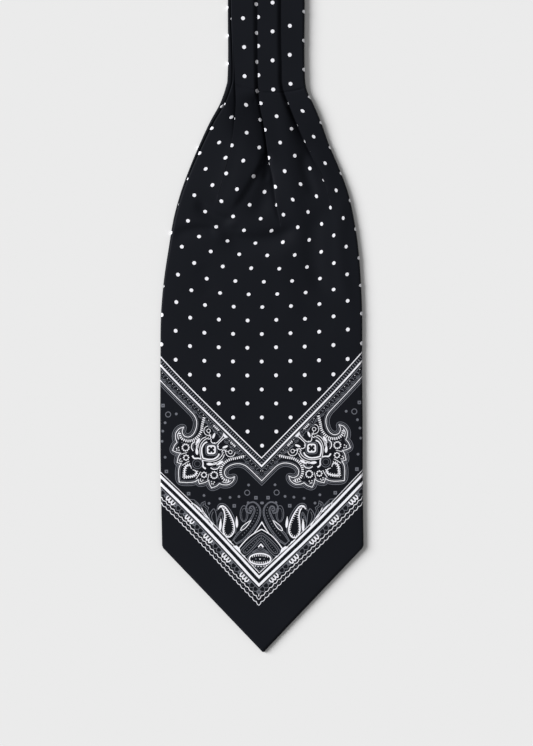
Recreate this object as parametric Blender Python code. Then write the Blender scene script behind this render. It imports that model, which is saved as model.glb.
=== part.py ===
"""Silk day cravat laid flat: two wide pointed blades and a pleated neckband between them.

+Z is up and +Y runs along the cravat. The origin is under the middle of the neckband, on the
plane that the cravat lies on. The near blade points to -Y. The far blade is its mirror image.
The front cloth lies a small gap above the back cloth. The folded edges of the pleats face -X,
and each pleat lies on the right part of its neighbour, as roof tiles do.

Sizes are in millimetres until a vertex is placed. "down" is the distance from the neck line,
where the pleats are stitched, towards the point of a blade.
"""
from collections import namedtuple
from math import cos, pi

import bmesh
import bpy

METRES = 0.001

# Overall sizes
NECKBAND_LENGTH = 385.0
BLADE_LENGTH = 417.5
TIP_X = 0.9
TIP_WIDTH = 3.0

# Cloth walls
BACK_WALL = 1.2
FRONT_WALL = 1.0
SEAM_GAP = 0.3
FLOOR = BACK_WALL + SEAM_GAP
NECK_LINE = NECKBAND_LENGTH / 2.0

# Rolled edges: how far in the wall has its full height, with the least part of the width near
# the point, and its height at the very edge as a part of the full height
EDGE_ROLL = 1.0
EDGE_ROLL_PART = 1.0 / 12.0
EDGE_HEIGHT = 0.6

# The back cloth shows beyond the front along the left edge, less and less down the blade
BACK_MARGIN = 1.2
BACK_MARGIN_END = 240.0

# Outline of a blade, read at a few distances down from the neck line
OutlineRow = namedtuple("OutlineRow", "down left right")
OUTLINE = (
    OutlineRow(0.0, -26.7, 33.3),
    OutlineRow(10.4, -30.0, 38.0),
    OutlineRow(22.3, -36.9, 43.1),
    OutlineRow(40.1, -45.6, 50.3),
    OutlineRow(57.9, -53.1, 56.9),
    OutlineRow(75.7, -59.3, 62.6),
    OutlineRow(93.6, -64.6, 67.1),
    OutlineRow(117.3, -69.0, 71.4),
    OutlineRow(141.1, -72.4, 73.3),
    OutlineRow(164.9, -74.4, 74.5),
    OutlineRow(200.5, -75.4, 74.9),
    OutlineRow(289.6, -74.6, 75.1),
    OutlineRow(339.5, -73.7, 75.4),
)
CORNER = OUTLINE[-1]

# Pleats below the neck line: the folded edge's place at the stitching, half way and at its end,
# how far it reaches, and how high it stands over its left neighbour at the stitching
FoldRow = namedtuple("FoldRow", "name neck_x mid_x end_x reach height")
FOLDS = (
    FoldRow("left", -19.8, -21.5, -30.4, 70.0, 0.8),
    FoldRow("middle", -2.4, 4.5, 13.1, 95.0, 1.3),
    FoldRow("right", 16.0, 30.4, 50.1, 70.0, 1.3),
)
CREST_SETBACK = 0.6
CREST_SETBACK_PART = 1.0 / 60.0
PANEL_STEPS = (0.0, 0.3, 0.6, 0.85)
LAST_PANEL_STEPS = (0.0, 0.25, 0.5, 0.75)
# Shares of a panel's width where it begins to come down from its fold, and over which it does
SLOPE_START = 0.25
SLOPE_LENGTH = 0.65

# Long edges of the neckband: place in its middle part and at the neck line, and over what
# length the one turns into the other
NeckEdge = namedtuple("NeckEdge", "name mid_x neck_x reach")
NECK_EDGES = {
    edge.name: edge
    for edge in (
        NeckEdge("left", -24.6, -26.7, 9.0),
        NeckEdge("pleat_1", -22.6, -19.8, 110.0),
        NeckEdge("pleat_2", -3.0, -2.4, 60.0),
        NeckEdge("pleat_3", 14.5, 16.0, 50.0),
        NeckEdge("right", 32.2, 33.3, 9.0),
    )
}
PLEAT_LAP = 10.0
PLEAT_SETTLE = 1.5
PLEAT_LIFT = FRONT_WALL + SEAM_GAP
FIRST_PLEAT_LIFT = 0.8

# Air between the cloths, and the largest creases of a blade's front
PUFF = 1.4
PUFF_START = 70.0
PUFF_END = 110.0
PUFF_FULLNESS = 0.7
CreaseRow = namedtuple("CreaseRow", "name from_x from_down to_x to_down bow half_width depth")
CREASES = (
    CreaseRow("sag", -42.0, 84.0, 24.0, 99.0, 13.0, 10.0, 0.8),
    CreaseRow("valley", -1.0, 26.0, -24.0, 90.0, 6.0, 8.0, 0.6),
    CreaseRow("hollow", 48.0, 92.0, 40.0, 148.0, 4.0, 13.0, 0.5),
)

# Rows of the meshes, as distances down a blade and in from the neck line
BLADE_ROWS = (
    0.0, 7.0, 14.0, 22.0, 31.0, 40.0, 49.0, 58.0, 67.0, 76.0, 85.0, 95.0, 105.0, 117.0, 130.0,
    148.0, 170.0, 200.0, 240.0, 290.0, 330.0, 338.5, 350.0, 370.0, 395.0, 410.0, 416.0, 417.5,
)
NECK_ROWS = (0.0, 4.5, 9.0, 25.0, 50.0, 80.0, 110.0, 150.0)

NAVY = (0.0086, 0.0098, 0.0130, 1.0)
NAVY_BACK = (0.0075, 0.0085, 0.0115, 1.0)


def ease(value):
    """Smooth step from 0 to 1, held at its ends."""
    held = min(max(value, 0.0), 1.0)
    return 0.5 - 0.5 * cos(pi * held)


def outline_at(down):
    """Left and right edge of a blade: a smooth curve to the corners, straight to the point."""
    if down >= CORNER.down:
        along = min((down - CORNER.down) / (BLADE_LENGTH - CORNER.down), 1.0)
        left_tip = TIP_X - TIP_WIDTH / 2.0
        right_tip = TIP_X + TIP_WIDTH / 2.0
        return (
            CORNER.left + (left_tip - CORNER.left) * along,
            CORNER.right + (right_tip - CORNER.right) * along,
        )
    last = len(OUTLINE) - 2
    index = max(i for i in range(last + 1) if OUTLINE[i].down <= down)
    rows = [OUTLINE[min(max(i, 0), last + 1)] for i in range(index - 1, index + 3)]
    return tuple(catmull_rom(rows, side, down) for side in ("left", "right"))


def catmull_rom(rows, column, down):
    """Value of a column between the two middle rows of four, with slopes from their neighbours."""
    before, start, end, after = rows
    span = end.down - start.down
    t = (down - start.down) / span
    values = [getattr(row, column) for row in rows]
    start_slope = (values[2] - values[0]) / (end.down - before.down) * span
    end_slope = (values[3] - values[1]) / (after.down - start.down) * span
    return (
        (2 * t**3 - 3 * t**2 + 1) * values[1]
        + (t**3 - 2 * t**2 + t) * start_slope
        + (3 * t**2 - 2 * t**3) * values[2]
        + (t**3 - t**2) * end_slope
    )


def fold_x(fold, down):
    """Place of a folded edge: a curve through its three points, then drifting to an even spread."""
    reached = min(down, fold.reach)
    t = reached / fold.reach
    x = (
        fold.neck_x * (1 - t) * (1 - 2 * t)
        + fold.mid_x * 4 * t * (1 - t)
        + fold.end_x * t * (2 * t - 1)
    )
    if down <= fold.reach:
        return x
    left, right = outline_at(reached)
    share = (x - left) / (right - left)
    even_share = (FOLDS.index(fold) + 1) / (len(FOLDS) + 1)
    share += (even_share - share) * ease((down - fold.reach) / (CORNER.down - fold.reach))
    left, right = outline_at(down)
    return left + share * (right - left)


def neck_edge_x(name, inward):
    """Place of a long edge of the neckband, inward from the neck line."""
    edge = NECK_EDGES[name]
    turn = max(1.0 - inward / edge.reach, 0.0) ** 2
    return edge.mid_x + (edge.neck_x - edge.mid_x) * turn


def crease_depth(x, down):
    """How far the largest creases press the front cloth down at one place."""
    total = 0.0
    for crease in CREASES:
        run = (crease.to_x - crease.from_x, crease.to_down - crease.from_down)
        length_squared = run[0] ** 2 + run[1] ** 2
        offset = (x - crease.from_x, down - crease.from_down)
        t = (offset[0] * run[0] + offset[1] * run[1]) / length_squared
        if not 0.0 < t < 1.0:
            continue
        across = (offset[1] * run[0] - offset[0] * run[1]) / length_squared**0.5
        across -= crease.bow * 4 * t * (1 - t)
        total += crease.depth * ease(1 - abs(across) / crease.half_width) * ease(4 * t * (1 - t))
    return total


def front_underside(x, down):
    """Underside of a blade's front cloth, which air lifts off the back cloth."""
    left, right = outline_at(down)
    share = min(max((x - left) / (right - left), 0.0), 1.0)
    swell = (4 * share * (1 - share)) ** PUFF_FULLNESS
    swell *= ease(down / PUFF_START) * ease((BLADE_LENGTH - down) / PUFF_END)
    return FLOOR + max(PUFF * swell - crease_depth(x, down) * swell, 0.0)


def fold_stand(fold, down, share):
    """Height of a pleat over its left neighbour, at a share of the way to the next fold."""
    fade = 1.0 - ease(down / fold.reach)
    return fold.height * fade * (1.0 - ease((share - SLOPE_START) / SLOPE_LENGTH))


def edge_roll(left, right):
    """Width of a rolled edge, less where the piece is narrow."""
    return min(EDGE_ROLL, (right - left) * EDGE_ROLL_PART)


def front_section(down):
    """Columns of a blade's front cloth at one distance down, as (x, underside, top)."""
    left, right = outline_at(down)
    left += BACK_MARGIN * (1.0 - ease(down / BACK_MARGIN_END))
    roll = edge_roll(left, right)
    setback = min(CREST_SETBACK, (right - left) * CREST_SETBACK_PART)
    columns = [(left, 0.0), (left + roll, 0.0)]
    edges = [fold_x(fold, down) for fold in FOLDS] + [right - roll]
    columns.append(((left + roll + edges[0]) / 2.0, 0.0))
    for fold, start, end in zip(FOLDS, edges, edges[1:]):
        columns.append((start, 0.0))
        steps = LAST_PANEL_STEPS if fold is FOLDS[-1] else PANEL_STEPS
        for share in steps:
            crest = start + setback
            columns.append((crest + share * (end - crest), fold_stand(fold, down, share)))
    columns += [(right - roll, 0.0), (right, 0.0)]
    section = []
    for x, stand in columns:
        under = front_underside(x, down)
        section.append((x, under, under + FRONT_WALL + stand))
    return section


def back_section(down):
    """Columns of a blade's back cloth, which shows a little beyond the front at the left."""
    left, right = outline_at(down)
    roll = edge_roll(left, right)
    return [(x, 0.0, BACK_WALL) for x in (left, left + roll, right - roll, right)]


def neckband_back_section(inward):
    """Columns of the neckband's back cloth."""
    left = neck_edge_x("left", inward)
    right = neck_edge_x("right", inward)
    return [(x, 0.0, BACK_WALL) for x in (left, left + EDGE_ROLL, right - EDGE_ROLL, right)]


def first_pleat_section(inward):
    """Columns of the left pleat, thicker at its fold, where it holds the hidden layers."""
    start = neck_edge_x("pleat_1", inward)
    covered = neck_edge_x("pleat_2", inward)
    end = covered + PLEAT_LAP
    top = FLOOR + FRONT_WALL
    return [
        (start, FLOOR, top + FIRST_PLEAT_LIFT),
        (start + EDGE_ROLL, FLOOR, top + FIRST_PLEAT_LIFT),
        ((start + covered) / 2.0, FLOOR, top + FIRST_PLEAT_LIFT / 2.0),
        (covered - PLEAT_SETTLE, FLOOR, top),
        (end - EDGE_ROLL, FLOOR, top),
        (end, FLOOR, top),
    ]


def lapped_pleat_section(inward, name, next_name):
    """Columns of a pleat that lies on its left neighbour and comes down behind that one's end."""
    start = neck_edge_x(name, inward)
    covered = neck_edge_x(next_name, inward)
    last = next_name == "right"
    end = covered if last else covered + PLEAT_LAP
    lap_end = start + PLEAT_LAP + SEAM_GAP
    down_by = covered - PLEAT_SETTLE - EDGE_ROLL
    high = FLOOR + PLEAT_LIFT
    columns = [
        (start, high),
        (start + EDGE_ROLL, high),
        (lap_end, high),
        ((lap_end + down_by) / 2.0, FLOOR + PLEAT_LIFT / 2.0),
        (down_by, FLOOR),
        (end - EDGE_ROLL, FLOOR),
        (end, FLOOR),
    ]
    return [(x, under, under + FRONT_WALL) for x, under in columns]


def laid_wall(name, rows, section, place_y, material):
    """Closed wall of cloth: a grid shaped by a section at each row, extruded to its underside.

    The outermost columns are lower than the wall, which rounds its long edges.
    """
    sections = [section(row) for row in rows]
    across = len(sections[0])
    along = len(rows)
    bm = bmesh.new()
    bmesh.ops.create_grid(bm, x_segments=across - 1, y_segments=along - 1, size=1.0)
    bm.verts.ensure_lookup_table()
    underside = bm.verts.layers.float.new("underside")
    for vert in bm.verts:
        column = round((vert.co.x + 1.0) / 2.0 * (across - 1))
        row = round((vert.co.y + 1.0) / 2.0 * (along - 1))
        x, under, top = sections[row][column]
        if column in (0, across - 1):
            top = under + (top - under) * EDGE_HEIGHT
        vert.co = (x * METRES, place_y(rows[row]) * METRES, top * METRES)
        vert[underside] = under
    made = bmesh.ops.extrude_face_region(bm, geom=list(bm.faces))
    for item in made["geom"]:
        if isinstance(item, bmesh.types.BMVert):
            item.co.z = item[underside] * METRES
    if bm.calc_volume(signed=True) < 0.0:
        bmesh.ops.reverse_faces(bm, faces=bm.faces)
    mesh = bpy.data.meshes.new(name)
    bm.to_mesh(mesh)
    bm.free()
    mesh.materials.append(material)
    mesh.shade_smooth()
    mesh.set_sharp_from_angle(angle=pi / 4)
    piece = bpy.data.objects.new(name, mesh)
    bpy.context.scene.collection.objects.link(piece)
    return piece


def silk(name, colour):
    """Silk finish in one colour."""
    material = bpy.data.materials.new(name)
    material.use_nodes = True
    shader = material.node_tree.nodes["Principled BSDF"]
    shader.inputs["Base Color"].default_value = colour
    shader.inputs["Roughness"].default_value = 0.55
    shader.inputs["Metallic"].default_value = 0.0
    return material


def make_blade(prefix, side, front_silk, back_silk):
    """Front and back cloth of one blade, on the -Y side or, mirrored, on the +Y side."""
    start = NECK_LINE + SEAM_GAP / 2.0

    def place_y(down):
        stretched = start + down * (BLADE_LENGTH - SEAM_GAP / 2.0) / BLADE_LENGTH
        return side * stretched

    laid_wall(prefix + "_back", BLADE_ROWS, back_section, place_y, back_silk)
    laid_wall(prefix + "_front", BLADE_ROWS, front_section, place_y, front_silk)


def make_neckband(front_silk, back_silk):
    """The pleated middle: its back cloth and the three pleats on it."""
    half = NECK_LINE - SEAM_GAP / 2.0
    rows = NECK_ROWS + (half,) + tuple(2 * half - row for row in reversed(NECK_ROWS))

    def place_y(row):
        return row - half

    def mirrored(section):
        return lambda row: section(min(row, 2 * half - row))

    laid_wall("neckband_back", rows, mirrored(neckband_back_section), place_y, back_silk)
    laid_wall("neckband_pleat_1", rows, mirrored(first_pleat_section), place_y, front_silk)
    for name, next_name in (("pleat_2", "pleat_3"), ("pleat_3", "right")):
        laid_wall(
            "neckband_" + name,
            rows,
            mirrored(lambda row, a=name, b=next_name: lapped_pleat_section(row, a, b)),
            place_y,
            front_silk,
        )


def main():
    for leftover in list(bpy.data.objects):
        bpy.data.objects.remove(leftover, do_unlink=True)
    front_silk = silk("printed_silk", NAVY)
    back_silk = silk("back_silk", NAVY_BACK)
    make_blade("blade", -1.0, front_silk, back_silk)
    make_neckband(front_silk, back_silk)
    make_blade("far_blade", 1.0, front_silk, back_silk)


main()
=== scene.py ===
"""The looks of a silk day cravat laid flat: printed twill cloth, pleats, folds and border print.

Lengths are in millimetres until a vertex is placed. "down" runs from the neck line, where the
pleats are stitched, towards the point of the near blade, and is negative in the neckband.
"cut" is the place across the cloth as it was cut, from its left edge. The far half of the
cravat is the near half mirrored across the middle of the neckband.
"""
from collections import namedtuple
from math import cos, hypot, pi, radians, sin, sqrt

import bmesh
import bpy
import numpy as np
from mathutils import Matrix, Vector


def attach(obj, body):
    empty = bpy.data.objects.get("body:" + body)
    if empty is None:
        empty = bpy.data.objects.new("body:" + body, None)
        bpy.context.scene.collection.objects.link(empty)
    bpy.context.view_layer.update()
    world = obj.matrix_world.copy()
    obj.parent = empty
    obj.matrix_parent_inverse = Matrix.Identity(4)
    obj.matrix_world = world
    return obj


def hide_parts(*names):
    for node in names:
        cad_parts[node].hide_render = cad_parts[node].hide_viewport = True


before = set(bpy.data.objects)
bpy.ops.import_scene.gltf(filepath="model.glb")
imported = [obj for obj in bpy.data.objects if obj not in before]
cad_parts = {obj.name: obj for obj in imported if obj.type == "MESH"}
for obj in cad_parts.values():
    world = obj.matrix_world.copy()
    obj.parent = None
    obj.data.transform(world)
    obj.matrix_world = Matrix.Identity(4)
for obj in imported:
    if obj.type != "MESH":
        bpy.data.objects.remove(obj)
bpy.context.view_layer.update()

METRES = 0.001
BODY = "root"

# Cloth as cut, and the cravat as laid
STRIP_WIDTH = 150.4
BLADE_LENGTH = 417.5
NECK_LINE = 192.5
TIP_X = 1.3
TIP_WIDTH = 1.4
CLOTH = 0.3

# Heights of the cloth over the surface that the cravat lies on
FRONT_LEVEL = 3.2
BACK_LEVEL = 0.18
LOWEST = 0.95
LOWEST_BLEND = 0.55
PUFF = 1.3
PUFF_START = 80.0
PUFF_END = 95.0
LEFT_FULLNESS = 0.6
RIGHT_FULLNESS = 0.3

# Rolled edges: how far in they reach, and the height at which the front meets the back
RIGHT_ROLL = 1.5
LEFT_ROLL = 0.8
TIP_ROLL = 2.4
TIP_ROLL_START = 342.0
RIGHT_MEET = 0.45
LEFT_MEET = 1.7
BACK_ROLL_HEIGHT = 2.4
BACK_ROLL_END = 250.0

OutlineRow = namedtuple("OutlineRow", "down left right")
OUTLINE = (
    OutlineRow(-192.5, -25.1, 32.2),
    OutlineRow(-60.0, -25.1, 32.2),
    OutlineRow(-12.0, -25.2, 32.3),
    OutlineRow(-6.0, -25.5, 32.6),
    OutlineRow(0.0, -27.2, 33.8),
    OutlineRow(10.4, -31.1, 38.7),
    OutlineRow(22.3, -37.7, 43.8),
    OutlineRow(40.1, -46.0, 50.2),
    OutlineRow(57.9, -53.5, 57.7),
    OutlineRow(75.7, -60.0, 64.3),
    OutlineRow(93.6, -65.0, 68.4),
    OutlineRow(117.3, -69.1, 72.0),
    OutlineRow(141.1, -72.7, 73.9),
    OutlineRow(164.9, -74.8, 74.9),
    OutlineRow(200.5, -75.3, 74.9),
    OutlineRow(250.0, -75.4, 75.3),
    OutlineRow(289.6, -74.9, 75.4),
    OutlineRow(339.5, -73.9, 76.0),
)
CORNER = OUTLINE[-1]

# How much of the back cloth shows along the left edge, where it is rolled over
MarginRow = namedtuple("MarginRow", "down shown")
MARGIN = (
    MarginRow(-192.5, 2.2),
    MarginRow(-60.0, 2.2),
    MarginRow(-35.0, 2.9),
    MarginRow(-11.0, 3.7),
    MarginRow(5.0, 3.7),
    MarginRow(25.0, 3.0),
    MarginRow(46.0, 2.3),
    MarginRow(65.0, 1.6),
    MarginRow(100.0, 0.95),
    MarginRow(160.0, 0.5),
    MarginRow(250.0, 0.0),
    MarginRow(420.0, 0.0),
)

# Pleats: the place of each folded edge, how much cloth is folded under it, how high it stands
# over its left neighbour, and how much cloth dips into the hollow beside the second edge
FanRow = namedtuple(
    "FanRow", "down fold_1 fold_2 fold_3 deep_1 deep_2 deep_3 stand_1 stand_2 stand_3 dip"
)
FAN = (
    FanRow(-192.5, -23.2, -3.1, 14.3, 16.5, 15.2, 14.9, 1.3, 1.3, 1.3, 0.5),
    FanRow(-67.0, -22.5, -3.0, 14.5, 16.5, 15.2, 14.9, 1.3, 1.3, 1.3, 0.6),
    FanRow(-20.0, -20.4, -2.8, 15.0, 15.8, 15.4, 14.9, 1.4, 1.3, 1.3, 1.7),
    FanRow(0.0, -19.5, -2.4, 16.1, 15.5, 15.5, 15.0, 1.9, 1.5, 1.5, 1.3),
    FanRow(11.0, -19.1, -1.4, 20.1, 12.9, 15.2, 12.4, 2.6, 1.9, 1.8, 1.0),
    FanRow(24.0, -20.3, 1.1, 25.5, 8.8, 14.5, 9.2, 2.4, 2.2, 1.9, 0.6),
    FanRow(36.0, -21.7, 3.0, 30.9, 6.2, 13.3, 7.0, 1.8, 2.4, 1.8, 0.3),
    FanRow(50.0, -25.2, 4.7, 37.4, 3.7, 12.0, 4.4, 1.1, 2.2, 1.3, 0.0),
    FanRow(67.0, -29.6, 8.4, 45.6, 1.4, 8.0, 1.8, 0.5, 1.2, 0.8, 0.0),
    FanRow(85.0, -34.5, 11.0, 51.0, 0.0, 3.4, 0.2, 0.1, 0.7, 0.15, 0.0),
    FanRow(102.0, -38.0, 14.0, 54.0, 0.0, 0.0, 0.0, 0.0, 0.1, 0.0, 0.0),
    FanRow(125.0, -38.0, 16.0, 54.0, 0.0, 0.0, 0.0, 0.0, 0.0, 0.0, 0.0),
    FanRow(340.0, -38.0, 0.0, 38.0, 0.0, 0.0, 0.0, 0.0, 0.0, 0.0, 0.0),
    FanRow(420.0, -38.0, 0.0, 38.0, 0.0, 0.0, 0.0, 0.0, 0.0, 0.0, 0.0),
)
FOLD_COUNT = 3
FULL_FOLD = 3.0
FOLD_LOOP = 0.42
TURN = 1.5
TURN_LEAD = 0.7
PLEAT_FALL = 0.80
DIP_FOLD = 1
DIP_REACH = 6.5
# Distance down over which each pleat opens out below the neck line
OPENING = (9.0, 45.0, 45.0)

# Hollows under the folded edges, in the cloth to the left of each: a narrow gap and a wide bowl
HollowRow = namedtuple("HollowRow", "down gap_1 gap_2 gap_3 bowl_1 bowl_2 bowl_3")
HOLLOWS = (
    HollowRow(-192.5, 0.2, 0.3, 0.3, 0.0, 0.0, 0.0),
    HollowRow(-40.0, 0.3, 0.3, 0.3, 0.0, 0.0, 0.0),
    HollowRow(-14.0, 0.8, 0.3, 0.3, 0.0, 0.0, 0.0),
    HollowRow(0.0, 0.9, 0.5, 0.5, 0.6, 0.2, 0.1),
    HollowRow(8.0, 0.9, 0.9, 1.0, 1.4, 1.1, 0.3),
    HollowRow(20.0, 0.7, 1.3, 1.5, 1.3, 1.3, 1.3),
    HollowRow(32.0, 0.3, 1.6, 1.5, 0.6, 1.4, 2.1),
    HollowRow(44.0, 0.0, 1.8, 1.0, 0.1, 1.3, 2.2),
    HollowRow(54.0, 0.0, 1.6, 0.3, 0.0, 1.6, 1.2),
    HollowRow(66.0, 0.0, 0.9, 0.0, 0.0, 1.3, 0.2),
    HollowRow(78.0, 0.0, 0.5, 0.0, 0.0, 0.6, 0.0),
    HollowRow(90.0, 0.0, 0.3, 0.0, 0.0, 0.1, 0.0),
    HollowRow(105.0, 0.0, 0.0, 0.0, 0.0, 0.0, 0.0),
    HollowRow(420.0, 0.0, 0.0, 0.0, 0.0, 0.0, 0.0),
)
GAP_REACH = 1.8
BOWL_REACH = (6.5, 6.5, 8.0)
HOLLOW_MIDDLE = 0.4

# Spare width that the folds don't take: some is turned under the left edge, and the rest
# gathers towards the right edge in soft hollows, the more so the higher the power. The middle
# of the cloth is drawn to the right by the lag.
SlackRow = namedtuple("SlackRow", "down turned_under power lag")
SLACK = (
    SlackRow(-192.5, 2.2, 1.0, 0.0),
    SlackRow(-60.0, 2.2, 1.0, 0.0),
    SlackRow(-35.0, 2.9, 1.0, 0.0),
    SlackRow(-11.0, 3.7, 1.0, 0.0),
    SlackRow(4.0, 3.6, 1.1, 0.0),
    SlackRow(12.0, 1.6, 1.2, 0.0),
    SlackRow(24.0, 0.5, 1.4, 0.0),
    SlackRow(38.0, 0.3, 2.2, 0.0),
    SlackRow(50.0, 0.8, 3.0, 0.0),
    SlackRow(60.0, 1.5, 3.2, 0.0),
    SlackRow(66.0, 2.0, 3.0, 0.0),
    SlackRow(78.0, 2.5, 3.6, 0.6),
    SlackRow(88.0, 2.4, 3.5, 1.8),
    SlackRow(97.0, 2.3, 3.4, 2.1),
    SlackRow(116.0, 3.4, 3.2, 2.0),
    SlackRow(136.0, 2.7, 3.4, 1.0),
    SlackRow(165.0, 1.1, 3.6, 0.2),
    SlackRow(192.0, 0.7, 3.6, 0.0),
    SlackRow(264.0, 0.2, 3.6, 0.0),
    SlackRow(330.0, 0.0, 3.6, 0.0),
    SlackRow(420.0, 0.0, 3.6, 0.0),
)

# Print rows of the cloth against the surface: place of a row in the middle, how much higher it
# lies at both edges, and how much higher past the second and past the third fold
DriftRow = namedtuple("DriftRow", "row down bow lift_2 lift_3")
DRIFT = (
    DriftRow(-406.0, -406.0, 0.0, 0.0, 0.0),
    DriftRow(-196.6, -192.5, 0.0, 0.0, 0.0),
    DriftRow(-154.7, -149.5, 0.0, 0.2, 0.4),
    DriftRow(-91.9, -85.0, 0.0, 0.9, 3.8),
    DriftRow(-29.0, -20.7, 0.0, 0.9, 4.1),
    DriftRow(-8.1, 0.9, 0.2, 0.9, 4.1),
    DriftRow(12.8, 22.3, 3.0, 2.2, 2.0),
    DriftRow(33.8, 43.4, 6.0, 3.4, 0.6),
    DriftRow(54.7, 65.1, 9.0, 3.7, 0.2),
    DriftRow(75.6, 86.3, 11.4, 3.7, -0.4),
    DriftRow(96.6, 105.2, 11.2, 2.2, -0.5),
    DriftRow(117.5, 122.8, 9.0, -0.6, 0.4),
    DriftRow(138.5, 142.6, 7.6, 0.0, 0.0),
    DriftRow(159.4, 161.4, 5.4, 0.4, 0.4),
    DriftRow(180.3, 181.4, 3.6, 0.5, 0.4),
    DriftRow(201.3, 201.8, 2.0, 0.3, 0.2),
    DriftRow(222.2, 222.4, 0.8, 0.0, 0.0),
    DriftRow(243.2, 243.2, 0.0, 0.0, 0.0),
    DriftRow(264.1, 264.1, 0.0, 0.0, 0.0),
    DriftRow(420.0, 420.0, 0.0, 0.0, 0.0),
)
LIFT_2_FROM = 68.0
LIFT_2_SPAN = 22.0
LIFT_3_FROM = 100.0
LIFT_3_SPAN = 36.0

# Creases, listed one by one: troughs have a negative height. Each runs through three points, and
# has its own width on its left and on its right.
Crease = namedtuple("Crease", "name x_1 down_1 x_2 down_2 x_3 down_3 left right height")
CREASES = (
    Crease("left tack line", -20.6, -4.4, -10.5, -0.9, 0.2, 1.5, 0.9, 0.9, -0.6),
    Crease("right tack line", -2.5, 1.5, 14.0, 2.2, 33.5, -1.6, 0.9, 0.9, -0.55),
    Crease("left crest", -20.5, 12.0, -22.5, 42.0, -34.0, 80.0, 5.0, 5.0, 0.2),
    Crease("first swell", -11.0, 25.0, -15.0, 55.0, -27.0, 92.0, 9.0, 9.0, 0.3),
    Crease("first puff", 1.9, 44.0, -7.8, 64.0, -22.5, 87.0, 24.0, 7.0, 1.7),
    Crease("valley floor", 5.5, 50.0, 5.0, 68.0, -5.0, 95.0, 8.0, 10.0, -1.3),
    Crease("valley pit", 3.6, 46.0, 4.2, 56.0, 2.0, 68.0, 5.0, 3.6, -1.3),
    Crease("valley line", 4.5, 47.5, -5.0, 65.5, -20.5, 89.0, 2.2, 3.8, -1.05),
    Crease("second tail", 7.4, 60.0, 9.6, 80.0, 13.4, 98.0, 2.6, 1.4, -0.5),
    Crease("second swell", 17.0, 15.0, 22.0, 60.0, 27.0, 100.0, 9.0, 9.0, 0.6),
    Crease("branch hollow", 30.5, 47.0, 32.8, 61.0, 39.0, 79.0, 4.5, 5.5, -1.15),
    Crease("right crest", 38.0, 44.0, 47.0, 60.0, 54.0, 80.0, 6.0, 8.0, 0.3),
    Crease("upper sag", -48.0, 83.0, -36.0, 93.0, -21.0, 97.0, 8.0, 5.0, -1.7),
    Crease("sag crest", -34.0, 101.0, -25.0, 103.0, -14.0, 102.5, 4.5, 4.5, -0.6),
    Crease("left lower sag", -67.0, 108.5, -50.0, 103.5, -32.0, 105.0, 7.0, 4.8, -1.5),
    Crease("lower sag", -31.0, 107.5, -11.0, 112.0, 25.0, 103.5, 12.0, 7.5, -2.2),
    Crease("right hollow", 42.0, 90.0, 38.0, 120.0, 46.0, 152.0, 10.0, 10.0, -1.2),
    Crease("right ridge", 60.0, 80.0, 58.0, 118.0, 64.0, 160.0, 8.0, 8.0, 0.6),
    Crease("left hollow", -46.0, 132.0, -42.0, 142.0, -38.0, 152.0, 10.0, 10.0, -0.4),
    Crease("middle ridge", 14.0, 112.0, 18.0, 140.0, 24.0, 172.0, 12.0, 12.0, 0.4),
    Crease("low wave", -60.0, 178.0, -10.0, 186.0, 50.0, 176.0, 14.0, 14.0, -0.3),
)


def smooth(rows, column, at):
    """Values of a table's column, read along its first column on a smooth curve."""
    knots = np.array([row[0] for row in rows])
    values = np.array([getattr(row, column) for row in rows])
    slopes = np.gradient(values, knots)
    held = np.clip(at, knots[0], knots[-1])
    index = np.clip(np.searchsorted(knots, held, side="right") - 1, 0, len(knots) - 2)
    span = knots[index + 1] - knots[index]
    t = (held - knots[index]) / span
    return (
        (2 * t**3 - 3 * t**2 + 1) * values[index]
        + (t**3 - 2 * t**2 + t) * slopes[index] * span
        + (3 * t**2 - 2 * t**3) * values[index + 1]
        + (t**3 - t**2) * slopes[index + 1] * span
    )


def straight(rows, column, at):
    """Values of a table's column, read along its first column on straight lines."""
    return np.interp(at, [row[0] for row in rows], [getattr(row, column) for row in rows])


def ease(value):
    """Smooth step from 0 to 1, held at its ends."""
    return 0.5 - 0.5 * np.cos(pi * np.clip(value, 0.0, 1.0))


def outline(down):
    """Left and right edge of the whole cravat."""
    along = np.clip((down - CORNER.down) / (BLADE_LENGTH - CORNER.down), 0.0, 1.0)
    edges = []
    for side, sign in (("left", -1.0), ("right", 1.0)):
        start = smooth(OUTLINE, side, down)
        tip = TIP_X + sign * TIP_WIDTH / 2.0
        edges.append(start + (tip - start) * along)
    return edges


def front_outline(down):
    """Left and right edge of the front cloth, which stays inside the back cloth at the left."""
    left, right = outline(down)
    return left + smooth(MARGIN, "shown", down), right


def cut_range(down):
    """First and last place across the cut cloth that show: fewer at the point."""
    left, right = front_outline(down)
    corner_left, corner_right = front_outline(np.asarray(CORNER.down))
    scale = STRIP_WIDTH / (corner_right - corner_left)
    beyond = down > CORNER.down
    turned = np.maximum(straight(SLACK, "turned_under", down), 0.0)
    first = np.where(beyond, (left - corner_left) * scale, turned)
    last = np.where(beyond, (right - corner_left) * scale, STRIP_WIDTH)
    return first, last


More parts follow.
